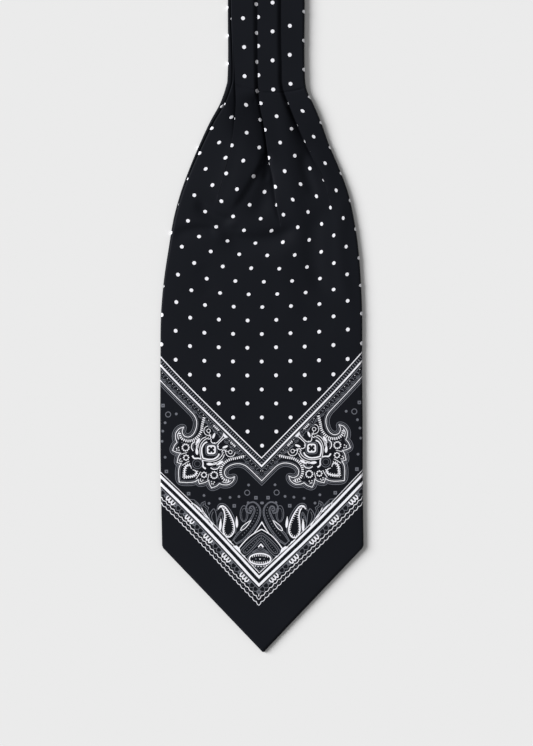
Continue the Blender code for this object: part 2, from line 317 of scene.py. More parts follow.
class Fan:
    """The folds at given distances down: where they are, and how the cut cloth fills them."""

    def __init__(self, down):
        at = np.minimum(down, CORNER.down)
        self.left, self.right = front_outline(at)
        self.width = self.right - self.left
        names = [str(number) for number in range(1, FOLD_COUNT + 1)]
        self.edges = [smooth(FAN, "fold_" + name, at) for name in names]
        self.deep = [np.maximum(straight(FAN, "deep_" + name, at), 0.0) for name in names]
        self.stand = [np.maximum(smooth(FAN, "stand_" + name, at), 0.0) for name in names]
        self.dip = np.maximum(straight(FAN, "dip", at), 0.0)
        self.gap = [np.maximum(smooth(HOLLOWS, "gap_" + name, at), 0.0) for name in names]
        self.bowl = [np.maximum(smooth(HOLLOWS, "bowl_" + name, at), 0.0) for name in names]
        hidden = 2.0 * sum(self.deep) + self.dip
        self.first = np.maximum(straight(SLACK, "turned_under", at), 0.0)
        laid = STRIP_WIDTH - self.first - hidden
        self.slack = np.maximum(laid - self.width, 0.0)
        self.scale = laid / (self.width + self.slack)
        self.power = straight(SLACK, "power", at)
        self.lag = straight(SLACK, "lag", at)

    def shown(self, x):
        """Cloth that shows between the left edge and a place, with slack, lag and dip in it."""
        share = np.clip((x - self.left) / self.width, 0.0, 1.0)
        spread = self.width * share + self.slack * share**self.power
        drawn = self.lag * 4.0 * share * (1.0 - share)
        dipped = self.dip * ease((x - self.edges[DIP_FOLD]) / DIP_REACH + 1.0)
        return (spread - drawn) * self.scale + dipped

    def place(self, shown):
        """Place across of a length of cloth that shows: the inverse of shown, by halving."""
        low = np.broadcast_to(self.left, shown.shape).astype(float)
        high = np.broadcast_to(self.right, shown.shape).astype(float)
        for _ in range(22):
            middle = (low + high) / 2.0
            short = self.shown(middle) < shown
            low = np.where(short, middle, low)
            high = np.where(short, high, middle)
        return (low + high) / 2.0

    def turns(self, number):
        """Cut places where a fold's lower layer begins, turns back, and turns over its edge."""
        start = self.first + self.shown(self.edges[number]) + 2.0 * sum(self.deep[:number])
        return start, start + self.deep[number], start + 2.0 * self.deep[number]


def across(fan, cut):
    """Place across of each cut place, folds included, before their turns are rounded."""
    shown = cut - fan.first
    folded = np.zeros_like(shown)
    inside = np.zeros(shown.shape, dtype=bool)
    for number in range(FOLD_COUNT):
        start, back, over = fan.turns(number)
        deep = fan.deep[number]
        lower = (cut > start) & (cut <= back)
        upper = (cut > back) & (cut < over)
        folded = np.where(lower, fan.edges[number] + (cut - start), folded)
        folded = np.where(upper, fan.edges[number] + (over - cut), folded)
        inside |= lower | upper
        shown = np.where(cut >= over, shown - 2.0 * deep, shown)
    return np.where(inside, folded, fan.place(np.where(inside, 0.0, shown)))


def crease_height(x, down):
    """Height that the listed creases add: each runs on a curve and fades at its ends."""
    total = np.zeros(np.broadcast(x, down).shape)
    for crease in CREASES:
        run_x = crease.x_3 - crease.x_1
        run_down = crease.down_3 - crease.down_1
        length = hypot(run_x, run_down)
        t = ((x - crease.x_1) * run_x + (down - crease.down_1) * run_down) / length**2
        side = ((down - crease.down_1) * run_x - (x - crease.x_1) * run_down) / length
        middle = (crease.down_2 - crease.down_1) * run_x - (crease.x_2 - crease.x_1) * run_down
        bend = middle / length
        distance = side - bend * 4.0 * t * (1.0 - t)
        fade = ease(np.clip(t / 0.3 + 0.3, 0.0, 1.0)) * ease(np.clip((1.0 - t) / 0.3 + 0.3, 0.0, 1.0))
        fade = np.where((t < -0.1) | (t > 1.1), 0.0, fade)
        width = np.where(distance > 0.0, crease.left, crease.right)
        profile = np.exp(-((distance / width) ** 2) * 2.0)
        total = total + crease.height * profile * fade
    return total


def edge_drop(distance, reach, depth):
    """How far a rolled edge falls: a quarter round of the given reach and depth."""
    t = np.clip(1.0 - distance / reach, 0.0, 1.0)
    return depth * (1.0 - np.sqrt(1.0 - t**2))


def roll_reach(down, reach):
    """Reach of a rolled edge: it is wider round the point."""
    return reach + (TIP_ROLL - reach) * ease((down - TIP_ROLL_START) / 20.0)


def hollow_depth(fan, number, x):
    """Depth of the hollow in the cloth under a folded edge."""
    distance = x - fan.edges[number] - HOLLOW_MIDDLE
    narrow = np.exp(-2.0 * (distance / GAP_REACH) ** 2)
    wide = np.exp(-2.0 * (distance / BOWL_REACH[number]) ** 2)
    return fan.gap[number] * narrow + fan.bowl[number] * wide


def front_height(fan, cut, x, down):
    """Height of the front cloth's upper side: air, pleats, creases and rolled edges."""
    left, right = front_outline(down)
    share = np.clip((x - left) / np.maximum(right - left, 1e-6), 0.0, 1.0)
    swell = (4.0 * share * (1.0 - share)) ** np.where(share < 0.5, LEFT_FULLNESS, RIGHT_FULLNESS)
    air = swell * ease(down / PUFF_START) * ease((BLADE_LENGTH - down) / PUFF_END)
    height = FRONT_LEVEL + PUFF * air
    height = height + crease_height(x, down) * np.minimum(swell * 1.6, 1.0)
    slope = 1e-3
    left_next, right_next = front_outline(down + slope)
    lean_left = np.sqrt(1.0 + ((left_next - left) / slope) ** 2)
    lean_right = np.sqrt(1.0 + ((right_next - right) / slope) ** 2)
    for number in range(FOLD_COUNT):
        spread = ease(down / OPENING[number])
        start, back, over = fan.turns(number)
        full = ease(fan.deep[number] / FULL_FOLD)
        next_edge = fan.edges[number + 1] if number + 1 < FOLD_COUNT else fan.right + 2.0
        reach = np.maximum(next_edge - fan.edges[number], 1.0)
        run = np.clip((x - fan.edges[number]) / reach, 0.0, 1.0)
        close = 1.0 - ease((run - PLEAT_FALL) / (1.0 - PLEAT_FALL))
        open_ = 1.0 - 0.5 * run - 0.5 * ease((run - 0.06) / 0.9)
        profile = close * (1.0 - spread) + open_ * spread
        stand = fan.stand[number] * profile
        first = ease((cut - back) / TURN + 0.5)
        height = height - hollow_depth(fan, number, x) * (1.0 - first)
        second = ease((cut - over + TURN_LEAD) / TURN + 0.5)
        layers = 0.5 * first + 0.5 * second
        layers = layers * full + ease((cut - over) / (TURN * 2.5) + 0.5) * (1.0 - full)
        height = height + stand * layers
    height = LOWEST + LOWEST_BLEND * np.logaddexp(0.0, (height - LOWEST) / LOWEST_BLEND)
    height = height - edge_drop((x - left) / lean_left, roll_reach(down, LEFT_ROLL), height - LEFT_MEET)
    return height - edge_drop((right - x) / lean_right, roll_reach(down, RIGHT_ROLL), height - RIGHT_MEET)


def lay(cut, down):
    """Front cloth: points in space of places on the cut cloth, on its upper side."""
    cut, down = np.broadcast_arrays(np.asarray(cut, float), np.asarray(down, float))
    fan = Fan(down)
    left, right = front_outline(down)
    first, last = cut_range(down)
    held = np.clip(cut, first, last)
    x = sum(across(fan, held + step * FOLD_LOOP) for step in (-1.0, -0.5, 0.0, 0.5, 1.0)) / 5.0
    beyond = down > CORNER.down
    share = (held - first) / np.maximum(last - first, 1e-6)
    x = np.where(beyond, left + (right - left) * share, np.clip(x, left, right))
    height = front_height(fan, held, x, down)
    return np.stack([x, -(NECK_LINE + down), height], axis=-1)


# ---------------------------------------------------------------- print rows on the cloth


def row_down(cut, row):
    """Distance down at which a print row lies, at a place across the cut cloth."""
    cut = np.asarray(cut, float)
    side = 2.0 * cut / STRIP_WIDTH - 1.0
    raised = np.maximum(smooth(DRIFT, "bow", row), 0.0) * side**2
    raised = raised + smooth(DRIFT, "lift_2", row) * ease((cut - LIFT_2_FROM) / LIFT_2_SPAN)
    raised = raised + smooth(DRIFT, "lift_3", row) * ease((cut - LIFT_3_FROM) / LIFT_3_SPAN)
    return smooth(DRIFT, "down", row) - raised


def down_row(cut, down):
    """Print row that lies at a distance down: the inverse of row_down, by repeated steps."""
    row = np.array(down, float)
    for _ in range(12):
        row = row - 0.85 * (row_down(cut, row) - down)
    return row


def printed(cut, row):
    """Points on the front cloth of places in the flat print."""
    return lay(cut, row_down(cut, row))


# ---------------------------------------------------------------- back cloth


def back_shape(over, down):
    """Points on the back cloth's outer side.

    "over" is measured from the foot of the rolled left edge: to the right along the flat
    underside where it is positive, up and over the roll where it is negative.
    """
    over, down = np.broadcast_arrays(np.asarray(over, float), np.asarray(down, float))
    left, _ = outline(down)
    shown = 1.0 - ease(down / BACK_ROLL_END)
    radius = (0.55 + (BACK_ROLL_HEIGHT - 0.55) * shown) / 2.0
    outermost = left + 0.1 * (1.0 - shown)
    turn = np.clip(-over / radius, 0.0, pi)
    beyond = np.maximum(-over - pi * radius, 0.0)
    fall = np.maximum(smooth(MARGIN, "shown", down) - radius - 1.1, 0.0)
    x = outermost + radius * (1.0 - np.sin(turn)) + np.maximum(over, 0.0) + beyond
    height = BACK_LEVEL + radius * (1.0 - np.cos(turn))
    settled = (0.5 + 0.2 * shown) * radius * ease((beyond - fall) / 1.1)
    height = height - settled
    return np.stack([x, -(NECK_LINE + down), height], axis=-1)


def back_reach(down):
    """How far the back cloth reaches to both sides of the foot of its left roll."""
    left, right = outline(down)
    shown = 1.0 - ease(down / BACK_ROLL_END)
    radius = (0.55 + (BACK_ROLL_HEIGHT - 0.55) * shown) / 2.0
    outermost = left + 0.1 * (1.0 - shown)
    flat = np.maximum(right - 0.4 - outermost - radius, 0.05)
    tucked = smooth(MARGIN, "shown", down) + 1.2
    rolled = pi * radius + np.minimum(tucked, 0.4 * (right - left))
    return -rolled, flat


# ---------------------------------------------------------------- meshes


def crowd(share, strength):
    """Even steps from 0 to 1 moved closer together at both ends."""
    return share - strength * np.sin(2.0 * pi * share) / (2.0 * pi)


def grid_cloth(columns, rows, place, flat):
    """A grid of cloth: place gives its points and flat its place in the cut cloth, in
    millimetres, both from shares across and along."""
    bm = bmesh.new()
    cloth_map = bm.loops.layers.uv.new("Cloth")
    bmesh.ops.create_grid(bm, x_segments=columns, y_segments=rows, size=1.0)
    bm.verts.ensure_lookup_table()
    start = np.array([vert.co[:2] for vert in bm.verts])
    across = np.round((start[:, 0] + 1.0) / 2.0 * columns) / columns
    along = np.round((start[:, 1] + 1.0) / 2.0 * rows) / rows
    points = place(across, along) * METRES
    cut = flat(across, along) * METRES
    for vert, point in zip(bm.verts, points):
        vert.co = point
    for face in bm.faces:
        for loop in face.loops:
            loop[cloth_map].uv = cut[loop.vert.index]
    for edge in bm.edges:
        edge.smooth = not edge.is_boundary
    return bm


def face_out(bm, upwards):
    """Turn an open sheet's faces to look up, or down."""
    bm.normal_update()
    rise = sum(face.normal.z * face.calc_area() for face in bm.faces)
    if (rise > 0.0) != upwards:
        bmesh.ops.reverse_faces(bm, faces=list(bm.faces))


def to_far_half(bm):
    """Mirror a piece of the near half across the middle of the neckband."""
    for vert in bm.verts:
        vert.co.y = -vert.co.y
    bmesh.ops.reverse_faces(bm, faces=list(bm.faces))


def finish_piece(name, bm, finish, slot_name):
    """Make a smooth-shaded object of a bmesh, which rides on the cravat."""
    for face in bm.faces:
        face.smooth = True
    mesh = bpy.data.meshes.new(name)
    bm.to_mesh(mesh)
    bm.free()
    mesh.materials.append(finish)
    piece = bpy.data.objects.new(name, mesh)
    bpy.context.scene.collection.objects.link(piece)
    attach(piece, BODY)
    return piece


def thicken(piece):
    """Give a sheet of cloth its thickness, on its inner side."""
    solid = piece.modifiers.new("cloth thickness", "SOLIDIFY")
    solid.thickness = CLOTH * METRES
    solid.offset = -1.0


# Columns of cloth between the turns of the folds, from the left edge
PANEL_COLUMNS = (16, 9, 9, 30, 9, 9, 24, 9, 9, 30)
LEAST_FOLD = 1.5
SETTLE_START = 96.0
SETTLE_SPAN = 50.0


def fold_columns(share, down):
    """Cut places of the cloth's columns, which run along the folds while there are any."""
    fan = Fan(down)
    first, last = cut_range(down)
    marks = [fan.first]
    for number in range(FOLD_COUNT):
        start, _, _ = fan.turns(number)
        deep = np.maximum(fan.deep[number], LEAST_FOLD)
        marks += [start, start + deep, start + 2.0 * deep]
    marks.append(np.full_like(down, STRIP_WIDTH))
    total = sum(PANEL_COLUMNS)
    followed = np.zeros_like(down)
    begin = 0
    for index, count in enumerate(PANEL_COLUMNS):
        inside = (share * total >= begin - 1e-6) & (share * total <= begin + count + 1e-6)
        step = crowd(np.clip((share * total - begin) / count, 0.0, 1.0), 0.6)
        followed = np.where(inside, marks[index] + (marks[index + 1] - marks[index]) * step, followed)
        begin += count
    settled = first + (last - first) * crowd(share, 0.7)
    weight = ease((down - SETTLE_START) / SETTLE_SPAN)
    return followed * (1.0 - weight) + settled * weight


# ---------------------------------------------------------------- ink in the flat print


def polyline(points, step=2.0):
    """Points at even steps along straight lines through the given points."""
    points = np.array(points, float)
    runs = []
    for start, end in zip(points[:-1], points[1:]):
        count = max(1, int(np.ceil(np.linalg.norm(end - start) / step)))
        runs.append(start + (end - start) * (np.arange(count) / count)[:, None])
    return np.vstack(runs + [points[-1:]])


def flowing(points, per_span=6, closed=False):
    """Points on a smooth curve through the given points."""
    points = np.array(points, float)
    if closed:
        padded = np.vstack([points[-1:], points, points[:2]])
    else:
        padded = np.vstack([2 * points[0] - points[1], points, 2 * points[-1] - points[-2]])
    runs = []
    for before, start, end, after in zip(padded[:-3], padded[1:-2], padded[2:-1], padded[3:]):
        t = (np.arange(per_span) / per_span)[:, None]
        curve = 2.0 * start + (end - before) * t
        curve = curve + (2.0 * before - 5.0 * start + 4.0 * end - after) * t**2
        curve = curve + (3.0 * start - before - 3.0 * end + after) * t**3
        runs.append(curve / 2.0)
    last = padded[-2:-1]
    return np.vstack(runs + [last])


def sideways(path):
    """Unit vectors to the left of a path, longer at its corners so that widths stay even."""
    ahead = np.diff(path, axis=0)
    ahead = ahead / np.maximum(np.linalg.norm(ahead, axis=1), 1e-9)[:, None]
    closed = np.linalg.norm(path[0] - path[-1]) < 1e-6
    first = ahead[-1] if closed else ahead[0]
    last = ahead[0] if closed else ahead[-1]
    before = np.vstack([first[None], ahead])
    after = np.vstack([ahead, last[None]])
    mean = before + after
    mean = mean / np.maximum(np.linalg.norm(mean, axis=1), 1e-9)[:, None]
    stretch = np.clip(1.0 / np.maximum((mean * after).sum(axis=1), 0.4), 1.0, 2.2)
    return np.stack([-mean[:, 1], mean[:, 0]], axis=1) * stretch[:, None]


def ribbon(bm, path, width):
    """A printed line along a path."""
    count = len(path) - 1
    side = sideways(path) * (np.broadcast_to(width, (len(path),)) / 2.0)[:, None]
    made = bmesh.ops.create_grid(bm, x_segments=count, y_segments=1, size=1.0)
    for vert in made["verts"]:
        index = round((vert.co.x + 1.0) / 2.0 * count)
        point = path[index] + side[index] * (1.0 if vert.co.y > 0.0 else -1.0)
        vert.co = (point[0], point[1], 0.0)


def patch(bm, path):
    """A printed area inside a closed path."""
    ring = path[:-1] if np.linalg.norm(path[0] - path[-1]) < 1e-6 else path
    made = bmesh.ops.create_circle(bm, cap_ends=True, segments=len(ring), radius=1.0)
    for vert, point in zip(made["verts"], ring):
        vert.co = (point[0], point[1], 0.0)


def dot(bm, place, radius, cells=4):
    """A round printed dot, made of a grid so that it can follow folds."""
    made = bmesh.ops.create_grid(bm, x_segments=cells, y_segments=cells, size=1.0)
    for vert in made["verts"]:
        u, v = vert.co.x, vert.co.y
        x = place[0] + radius * u * sqrt(1.0 - v * v / 2.0)
        y = place[1] + radius * v * sqrt(1.0 - u * u / 2.0)
        vert.co = (x, y, 0.0)
    return made["verts"]


def joined(verts):
    """Vertices with the edges and faces that they belong to."""
    edges = {edge for vert in verts for edge in vert.link_edges}
    faces = {face for vert in verts for face in vert.link_faces}
    return list(verts) + list(edges) + list(faces)


def circle_path(place, radius, count=20, squash=1.0, start=0.0, turn=2.0 * pi):
    """Points on a circle or an arc."""
    angle = start + turn * np.arange(count + 1) / count
    x = place[0] + radius * np.cos(angle)
    return np.stack([x, place[1] + radius * squash * np.sin(angle)], axis=1)


def cut_print(bm, geometry, across, clear=None):
    """Cut flat printed geometry along a line down the cloth, and drop one side if asked."""
    bmesh.ops.bisect_plane(
        bm,
        geom=geometry,
        dist=1e-4,
        plane_co=(across, 0.0, 0.0),
        plane_no=(1.0, 0.0, 0.0),
        clear_outer=clear == "right",
        clear_inner=clear == "left",
    )


# Half the distance over which the cloth's slope under the print is measured
NORMAL_STEP = 0.12


def look_down(bm):
    """Turn the faces of a flat print so that they look up once they are on the cloth."""
    bm.normal_update()
    wrong = [face for face in bm.faces if face.normal.z > 0.0]
    bmesh.ops.reverse_faces(bm, faces=wrong)


def lay_ink(bm, lift, shape=printed, outwards=1.0):
    """Move a flat print onto the cloth, just proud of it, and keep its flat place as a map."""
    cloth_map = bm.loops.layers.uv.new("Cloth")
    bm.verts.index_update()
    look_down(bm)
    flat = np.array([vert.co[:2] for vert in bm.verts])
    step = NORMAL_STEP
    cut, row = flat[:, 0], flat[:, 1]
    points = shape(cut, row)
    over = shape(cut + step, row) - shape(cut - step, row)
    along = shape(cut, row + step) - shape(cut, row - step)
    normal = -np.cross(over, along) * outwards
    normal = normal / np.maximum(np.linalg.norm(normal, axis=1), 1e-12)[:, None]
    points = (points + normal * lift) * METRES
    for face in bm.faces:
        for loop in face.loops:
            loop[cloth_map].uv = flat[loop.vert.index] * METRES
    for vert, point in zip(bm.verts, points):
        vert.co = point


# ---------------------------------------------------------------- dots

DOT_RADIUS = 1.4
DOT_PITCH = 20.94
DOT_COLUMN = 10.62
DOT_START_CUT = 75.7
DOT_START_ROW = 264.1
DOT_COLUMNS = 7
DOT_LIFT = 0.2
UNDER_DOT_LIFT = 0.12
FINE_CELLS = 10
MIDDLE_ROW = -196.6


def dot_places():
    """Places of the dots in the flat print: every other column is half a step lower."""
    for column in range(-DOT_COLUMNS, DOT_COLUMNS + 1):
        cut = DOT_START_CUT + DOT_COLUMN * column
        row = DOT_START_ROW + (DOT_PITCH / 2.0 if column % 2 else 0.0)
        while row > MIDDLE_ROW - 1.0:
            yield cut, row
            row -= DOT_PITCH


def dot_cells(cut, down):
    """Cells across a dot: none where it is folded away, and more where it turns over a fold."""
    fan = Fan(np.array([down]))
    cells = 4
    for number in range(FOLD_COUNT):
        if fan.deep[number][0] < 0.25:
            continue
        start, back, over = (float(value[0]) for value in fan.turns(number))
        if start + DOT_RADIUS + 0.6 < cut < over - DOT_RADIUS - 0.9:
            return 0
        if start - DOT_RADIUS - 1.0 < cut < over + DOT_RADIUS + 1.5:
            cells = FINE_CELLS
    if down < 110.0:
        cells = max(cells, 6)
    return cells


def front_dots(lowest, highest):
    """Dots of the front cloth whose middles lie between two distances down."""
    bm = bmesh.new()
    for cut, row in dot_places():
        down = float(row_down(cut, row))
        if not lowest <= down < highest or in_border(cut, row):
            continue
        first, last = (float(value) for value in cut_range(np.array(down)))
        if cut + DOT_RADIUS < first + 0.3:
            continue
        cells = dot_cells(cut, down)
        if not cells:
            continue
        edge = cut - DOT_RADIUS < first + 2.0 or cut + DOT_RADIUS > last - 2.5
        verts = dot(bm, (cut, row), DOT_RADIUS, 8 if edge and cells < 8 else cells)
        if cut - DOT_RADIUS < first + 0.03:
            cut_print(bm, joined(verts), first + 0.03, "left")
        elif cut + DOT_RADIUS > last - 0.03:
            cut_print(bm, joined(verts), last - 0.03, "right")
    lay_ink(bm, DOT_LIFT)
    return bm


# ---------------------------------------------------------------- border print
#
# The border is drawn on its right half, as (across from its axis, print row), and mirrored.
# Its bands lie on two V lines. A place in a band is (along the arm from the V's foot,
# outwards from the V line, towards the point of the blade).

BORDER_AXIS = 75.7

# The border is a little askew on the cloth: its axis leans, and its arms turn about it
SkewRow = namedtuple("SkewRow", "row lean turn")
SKEW = (
    SkewRow(255.0, -0.45, -0.016),
    SkewRow(273.0, -0.45, -0.016),
    SkewRow(305.0, -0.5, -0.004),
    SkewRow(320.8, -1.0, 0.004),
    SkewRow(337.4, -2.1, 0.012),
    SkewRow(348.0, -2.6, 0.017),
    SkewRow(360.0, -3.3, 0.0215),
    SkewRow(380.0, -3.6, 0.0215),
)
BORDER_EDGE = 0.06
ROLL_CUTS = (0.25, 0.6, 1.0, 1.5, 2.1, 2.9)
ARM = 112.0

Band = namedtuple("Band", "foot slope_across slope_along")
UPPER_V = Band(273.3, 0.7059, 0.7083)
LOWER_V = Band(360.1, 0.7039, 0.7103)


def band_place(band, path):
    """Places of a band, (along the arm, outwards), in the half border."""
    path = np.array(path, float)
    x = path[:, 0] * band.slope_across + path[:, 1] * band.slope_along
    row = band.foot - path[:, 0] * band.slope_along + path[:, 1] * band.slope_across
    return np.stack([x, row], axis=1)


def in_border(cut, row):
    """Whether a dot would touch the border: dots stop above its first line."""
    x = cut - BORDER_AXIS - SKEW[0].lean
    below = row - SKEW[0].turn * x - UPPER_V.foot
    return abs(x) * UPPER_V.slope_along + below * UPPER_V.slope_across > -3.2


class Pen:
    """Draws lines, areas and dots in two inks, in the frame of one part of the border."""

    def __init__(self, inks, place, mirrored=False):
        self.inks = inks
        self.place = place
        self.sides = (1.0, -1.0) if mirrored else (1.0,)

    def line(self, path, width, ink="white"):
        for side in self.sides:
            turned_over = np.array(path, float) * np.array([side, 1.0])
            ribbon(self.inks[ink], self.place(turned_over), width)

    def area(self, path, ink="white"):
        for side in self.sides:
            turned_over = np.array(path, float) * np.array([side, 1.0])
            patch(self.inks[ink], self.place(turned_over))

    def dots(self, places, radius, ink="white", cells=2):
        for side in self.sides:
            for place in self.place(np.array(places, float) * np.array([side, 1.0])):
                dot(self.inks[ink], place, radius, cells)


def turned(path, place, angle=0.0, size=(1.0, 1.0)):
    """A motif's path, sized, turned and put in its place."""
    path = np.array(path, float) * np.array(size)
    x = place[0] + path[:, 0] * cos(angle) - path[:, 1] * sin(angle)
    y = place[1] + path[:, 0] * sin(angle) + path[:, 1] * cos(angle)
    return np.stack([x, y], axis=1)


def leaf_path(half_width, length, steps=8):
    """A pointed leaf, from its base at the origin up to its tip and back."""
    t = np.arange(steps + 1) / steps
    width = half_width * np.sin(pi * t**0.8) ** 0.85 * (1.0 - 0.25 * t) + half_width * 0.25 * (1.0 - t)
    width[-1] = 0.0
    right = np.stack([width, t * length], axis=1)
    left = right[::-1][1:] * np.array([-1.0, 1.0])
    return np.vstack([right, left, right[:1]])


def outset(path, distance):
    """A path moved sideways, and evened out afterwards."""
    moved = path + sideways(path) * distance
    for _ in range(3):
        moved[1:-1] = (moved[:-2] + 2.0 * moved[1:-1] + moved[2:]) / 4.0
    return moved


def along_path(path, count):
    """Evenly spaced places on a path."""
    run = np.concatenate([[0.0], np.cumsum(np.linalg.norm(np.diff(path, axis=0), axis=1))])
    at = np.linspace(0.0, run[-1], count)
    return np.stack([np.interp(at, run, path[:, 0]), np.interp(at, run, path[:, 1])], axis=1)


def beads(pen, path, count, radius, ink="white"):
    """Small dots along a path."""
    pen.dots(along_path(path, count), radius, ink)


def straight_bands(pen):
    """The straight bands between the dotted ground and the border's ground."""

    def rule(outwards, width, ink="white"):
        pen.line(polyline([(-20.0, outwards), (ARM, outwards)]), width, ink)

    rule(0.0, 0.7)
    rule(4.27, 1.2)
    rule(6.1, 0.5, "grey")
    rule(9.9, 0.28, "grey")
    for index in range(61):
        along = -6.0 + 1.97 * index
        pen.line([(along, 1.2), (along + 0.15, 3.1)], 0.66, "grey")
    for index in range(23):
        along = -12.0 + 5.4 * index
        pen.line(turned(leaf_path(0.8, 2.9, 4), (along, 9.0), -0.95), 0.3, "grey")
        pen.line(flowing([(along + 2.6, 6.9), (along + 3.4, 7.6), (along + 3.1, 9.0)], 3), 0.42, "grey")
        pen.dots([(along + 0.4, 7.3)], 0.3)
        pen.dots([(along + 4.4, 8.2)], 0.3, "grey", 1)


CLUSTER_ALONG = 31.0
CLUSTER_OUTWARDS = 7.3
# The contour's parts: it is smooth within a part, and has a corner where two parts meet
CONTOUR = (
    ((33.0, 4.6), (27.0, 4.9), (22.4, 6.9), (19.2, 10.8), (17.7, 15.2), (18.5, 19.0), (21.6, 20.9),
     (24.9, 19.6), (26.4, 16.6)),
    ((26.4, 16.6), (27.9, 19.6), (27.4, 23.8), (24.6, 26.8), (22.0, 28.0)),
    ((22.0, 28.0), (21.8, 31.0), (20.2, 34.6)),
    ((20.2, 34.6), (17.2, 33.6), (14.6, 31.9)),
    ((14.6, 31.9), (13.8, 35.0), (11.6, 38.6)),
    ((11.6, 38.6), (10.0, 38.0), (8.8, 37.0)),
    ((8.8, 37.0), (7.6, 40.6), (4.4, 44.4), (0.0, 48.2)),
)


def contour_path():
    """The border's white outer line: along the band, round the palmette, and to the axis."""
    right = np.vstack([flowing(part, 5) for part in CONTOUR])
    left = right[::-1] * np.array([-1.0, 1.0])
    far = polyline([(84.0, 4.6), (34.0, 4.6)])
    near = polyline([(-34.0, 4.6), (-52.0, 4.6)])
    path = np.vstack([far, right, left, near])
    apart = np.linalg.norm(np.diff(path, axis=0), axis=1) > 1e-6
    return path[np.concatenate([[True], apart])]


def palmette(inks):
    """The palmette in the middle of an arm: a ringed flower, leaves around it, two horns."""

    def place(path):
        return band_place(UPPER_V, path + np.array([CLUSTER_ALONG, CLUSTER_OUTWARDS]))

    centre = Pen(inks, place)
    pair = Pen(inks, place, mirrored=True)
    palmette_heart(centre, pair)
    palmette_shoulders(pair)
    palmette_horns(pair)
    palmette_crown(centre, pair)
    outer = contour_path()
    centre.line(outer, 0.55)
    centre.line(outset(outer, -1.2), 0.42, "grey")
    centre.line(outset(outer, -2.45), 0.42, "grey")
    centre.line(outset(outer, 1.1), 0.3, "grey")


def cushion(size):
    """A square standing on its corner, with soft corners and bulging sides."""
    corners = [(1.0, 0.0), (0.58, 0.58), (0.0, 1.0), (-0.58, 0.58)]
    corners += [(-x, -y) for x, y in corners]
    return flowing(np.array(corners) * size, 4, closed=True)


def palmette_heart(centre, pair):
    """A stalk, a four-pointed star in two cushions, and the cup that holds it."""
    middle = (0.0, 14.2)
    pair.line(flowing([(1.9, -0.4), (0.9, 1.2), (0.62, 4.6), (0.7, 7.6), (1.9, 9.6)], 4), 0.55)
    pair.area([(0.0, 1.0), (0.0, -1.0), (2.6, -1.0), (1.0, 0.4)])
    centre.line(turned(cushion(3.4), middle), 1.1)
    centre.line(turned(cushion(5.1), middle), 0.5, "grey")
    for side in range(4):
        centre.line(turned([(0.0, 2.5), (0.0, 1.5)], middle, pi / 4.0 + side * pi / 2.0), 0.9)
    cup = flowing([(6.3, 12.2), (6.9, 14.8), (5.9, 18.2), (3.2, 21.0), (0.0, 23.0)])
    pair.line(cup, 1.0)
    pair.line(flowing([(7.6, 9.2), (8.7, 12.4), (8.4, 16.2), (6.4, 19.8), (3.2, 22.6), (1.0, 24.2)]), 0.5)
    pair.line(flowing([(9.4, 10.0), (10.5, 13.0), (10.0, 17.0), (8.0, 20.4)]), 0.5)
    beads(pair, flowing([(6.6, 8.8), (7.6, 12.0), (7.6, 15.4), (6.2, 18.4)]), 10, 0.3, "grey")
    pair.line(flowing([(9.0, 8.4), (7.4, 7.4), (6.3, 8.6), (7.0, 10.2)], 4), 0.55)


def palmette_shoulders(pair):
    """Beside the stalk: a dark comma, a row of short bars, a bright blob and a half wheel."""
    comma = [(1.9, 8.6), (2.6, 9.9), (4.4, 9.9), (5.6, 8.6)]
    pair.line(flowing(comma, 4), 0.55)
    pair.line(flowing([(1.4, 1.4), (3.4, 0.1), (5.4, 0.9)], 4), 0.36, "grey")
    pair.area(turned(circle_path((0.0, 0.0), 0.85, 10, squash=2.6), (5.9, 5.6), 0.4))
    wheel = (11.3, 5.6)
    pair.line(circle_path(wheel, 3.5, 18, start=-0.7, turn=3.6), 0.45)
    pair.line(circle_path(wheel, 1.35, 12), 0.42)
    pair.line([(8.4, 7.6), (10.0, 6.3)], 0.4)
    pair.line([(12.5, 6.3), (14.2, 7.4)], 0.4, "grey")
    pair.line(flowing([(8.2, 3.4), (9.8, 2.7), (11.4, 2.9), (13.4, 4.0)], 4), 0.42, "grey")
    for step in range(4):
        pair.line([(6.6 + 1.35 * step, -0.5), (6.8 + 1.35 * step, 0.9)], 0.72)
    for step in range(3):
        pair.line([(12.6 + 1.7 * step, -0.2), (12.2 + 1.7 * step, 1.3)], 0.42, "grey")
        pair.dots([(15.4 + 1.5 * step, 2.2 - 0.4 * step)], 0.36, "grey")


def rope(pen, path, count, reach, width):
    """A twisted cord: short bars that lie across a path."""
    places = along_path(path, count)
    across_path = sideways(places)
    for place, across_here in zip(places, across_path):
        pen.line([place - across_here * reach, place + across_here * reach], width)


def palmette_horns(pair):
    """The horn: a cord between two lines, hooked at its end."""
    spine = [(20.4, 1.2), (17.9, 5.4), (14.9, 9.8), (13.9, 14.6), (15.0, 19.2), (18.2, 22.6), (22.4, 23.5)]
    cord = flowing(spine + [(25.2, 22.0)])
    rope(pair, cord, 22, 0.95, 0.8)
    pair.line(flowing([(22.6, 25.6), (25.6, 23.8), (26.4, 20.8)], 4), 0.5)
    pair.line(flowing([(12.4, 11.0), (11.6, 15.2), (12.9, 20.2), (16.0, 24.2), (19.8, 25.8)]), 0.34, "grey")


def palmette_flower(pen, middle, tip, radius):
    """A flower of the palmette: a ring of pearls, and two pairs of beads up to its tip."""
    beads(pen, circle_path(middle, radius * 0.84, 24), int(4.4 * radius), 0.6)
    reach = hypot(tip[0] - middle[0], tip[1] - middle[1])
    run = np.array([tip[0] - middle[0], tip[1] - middle[1]]) / reach
    aside = np.array([run[1], -run[0]])
    for share, half in ((0.62, 1.0), (0.8, 0.55)):
        place = middle + run * reach * share
        pen.dots([place + aside * half, place - aside * half], 0.46)


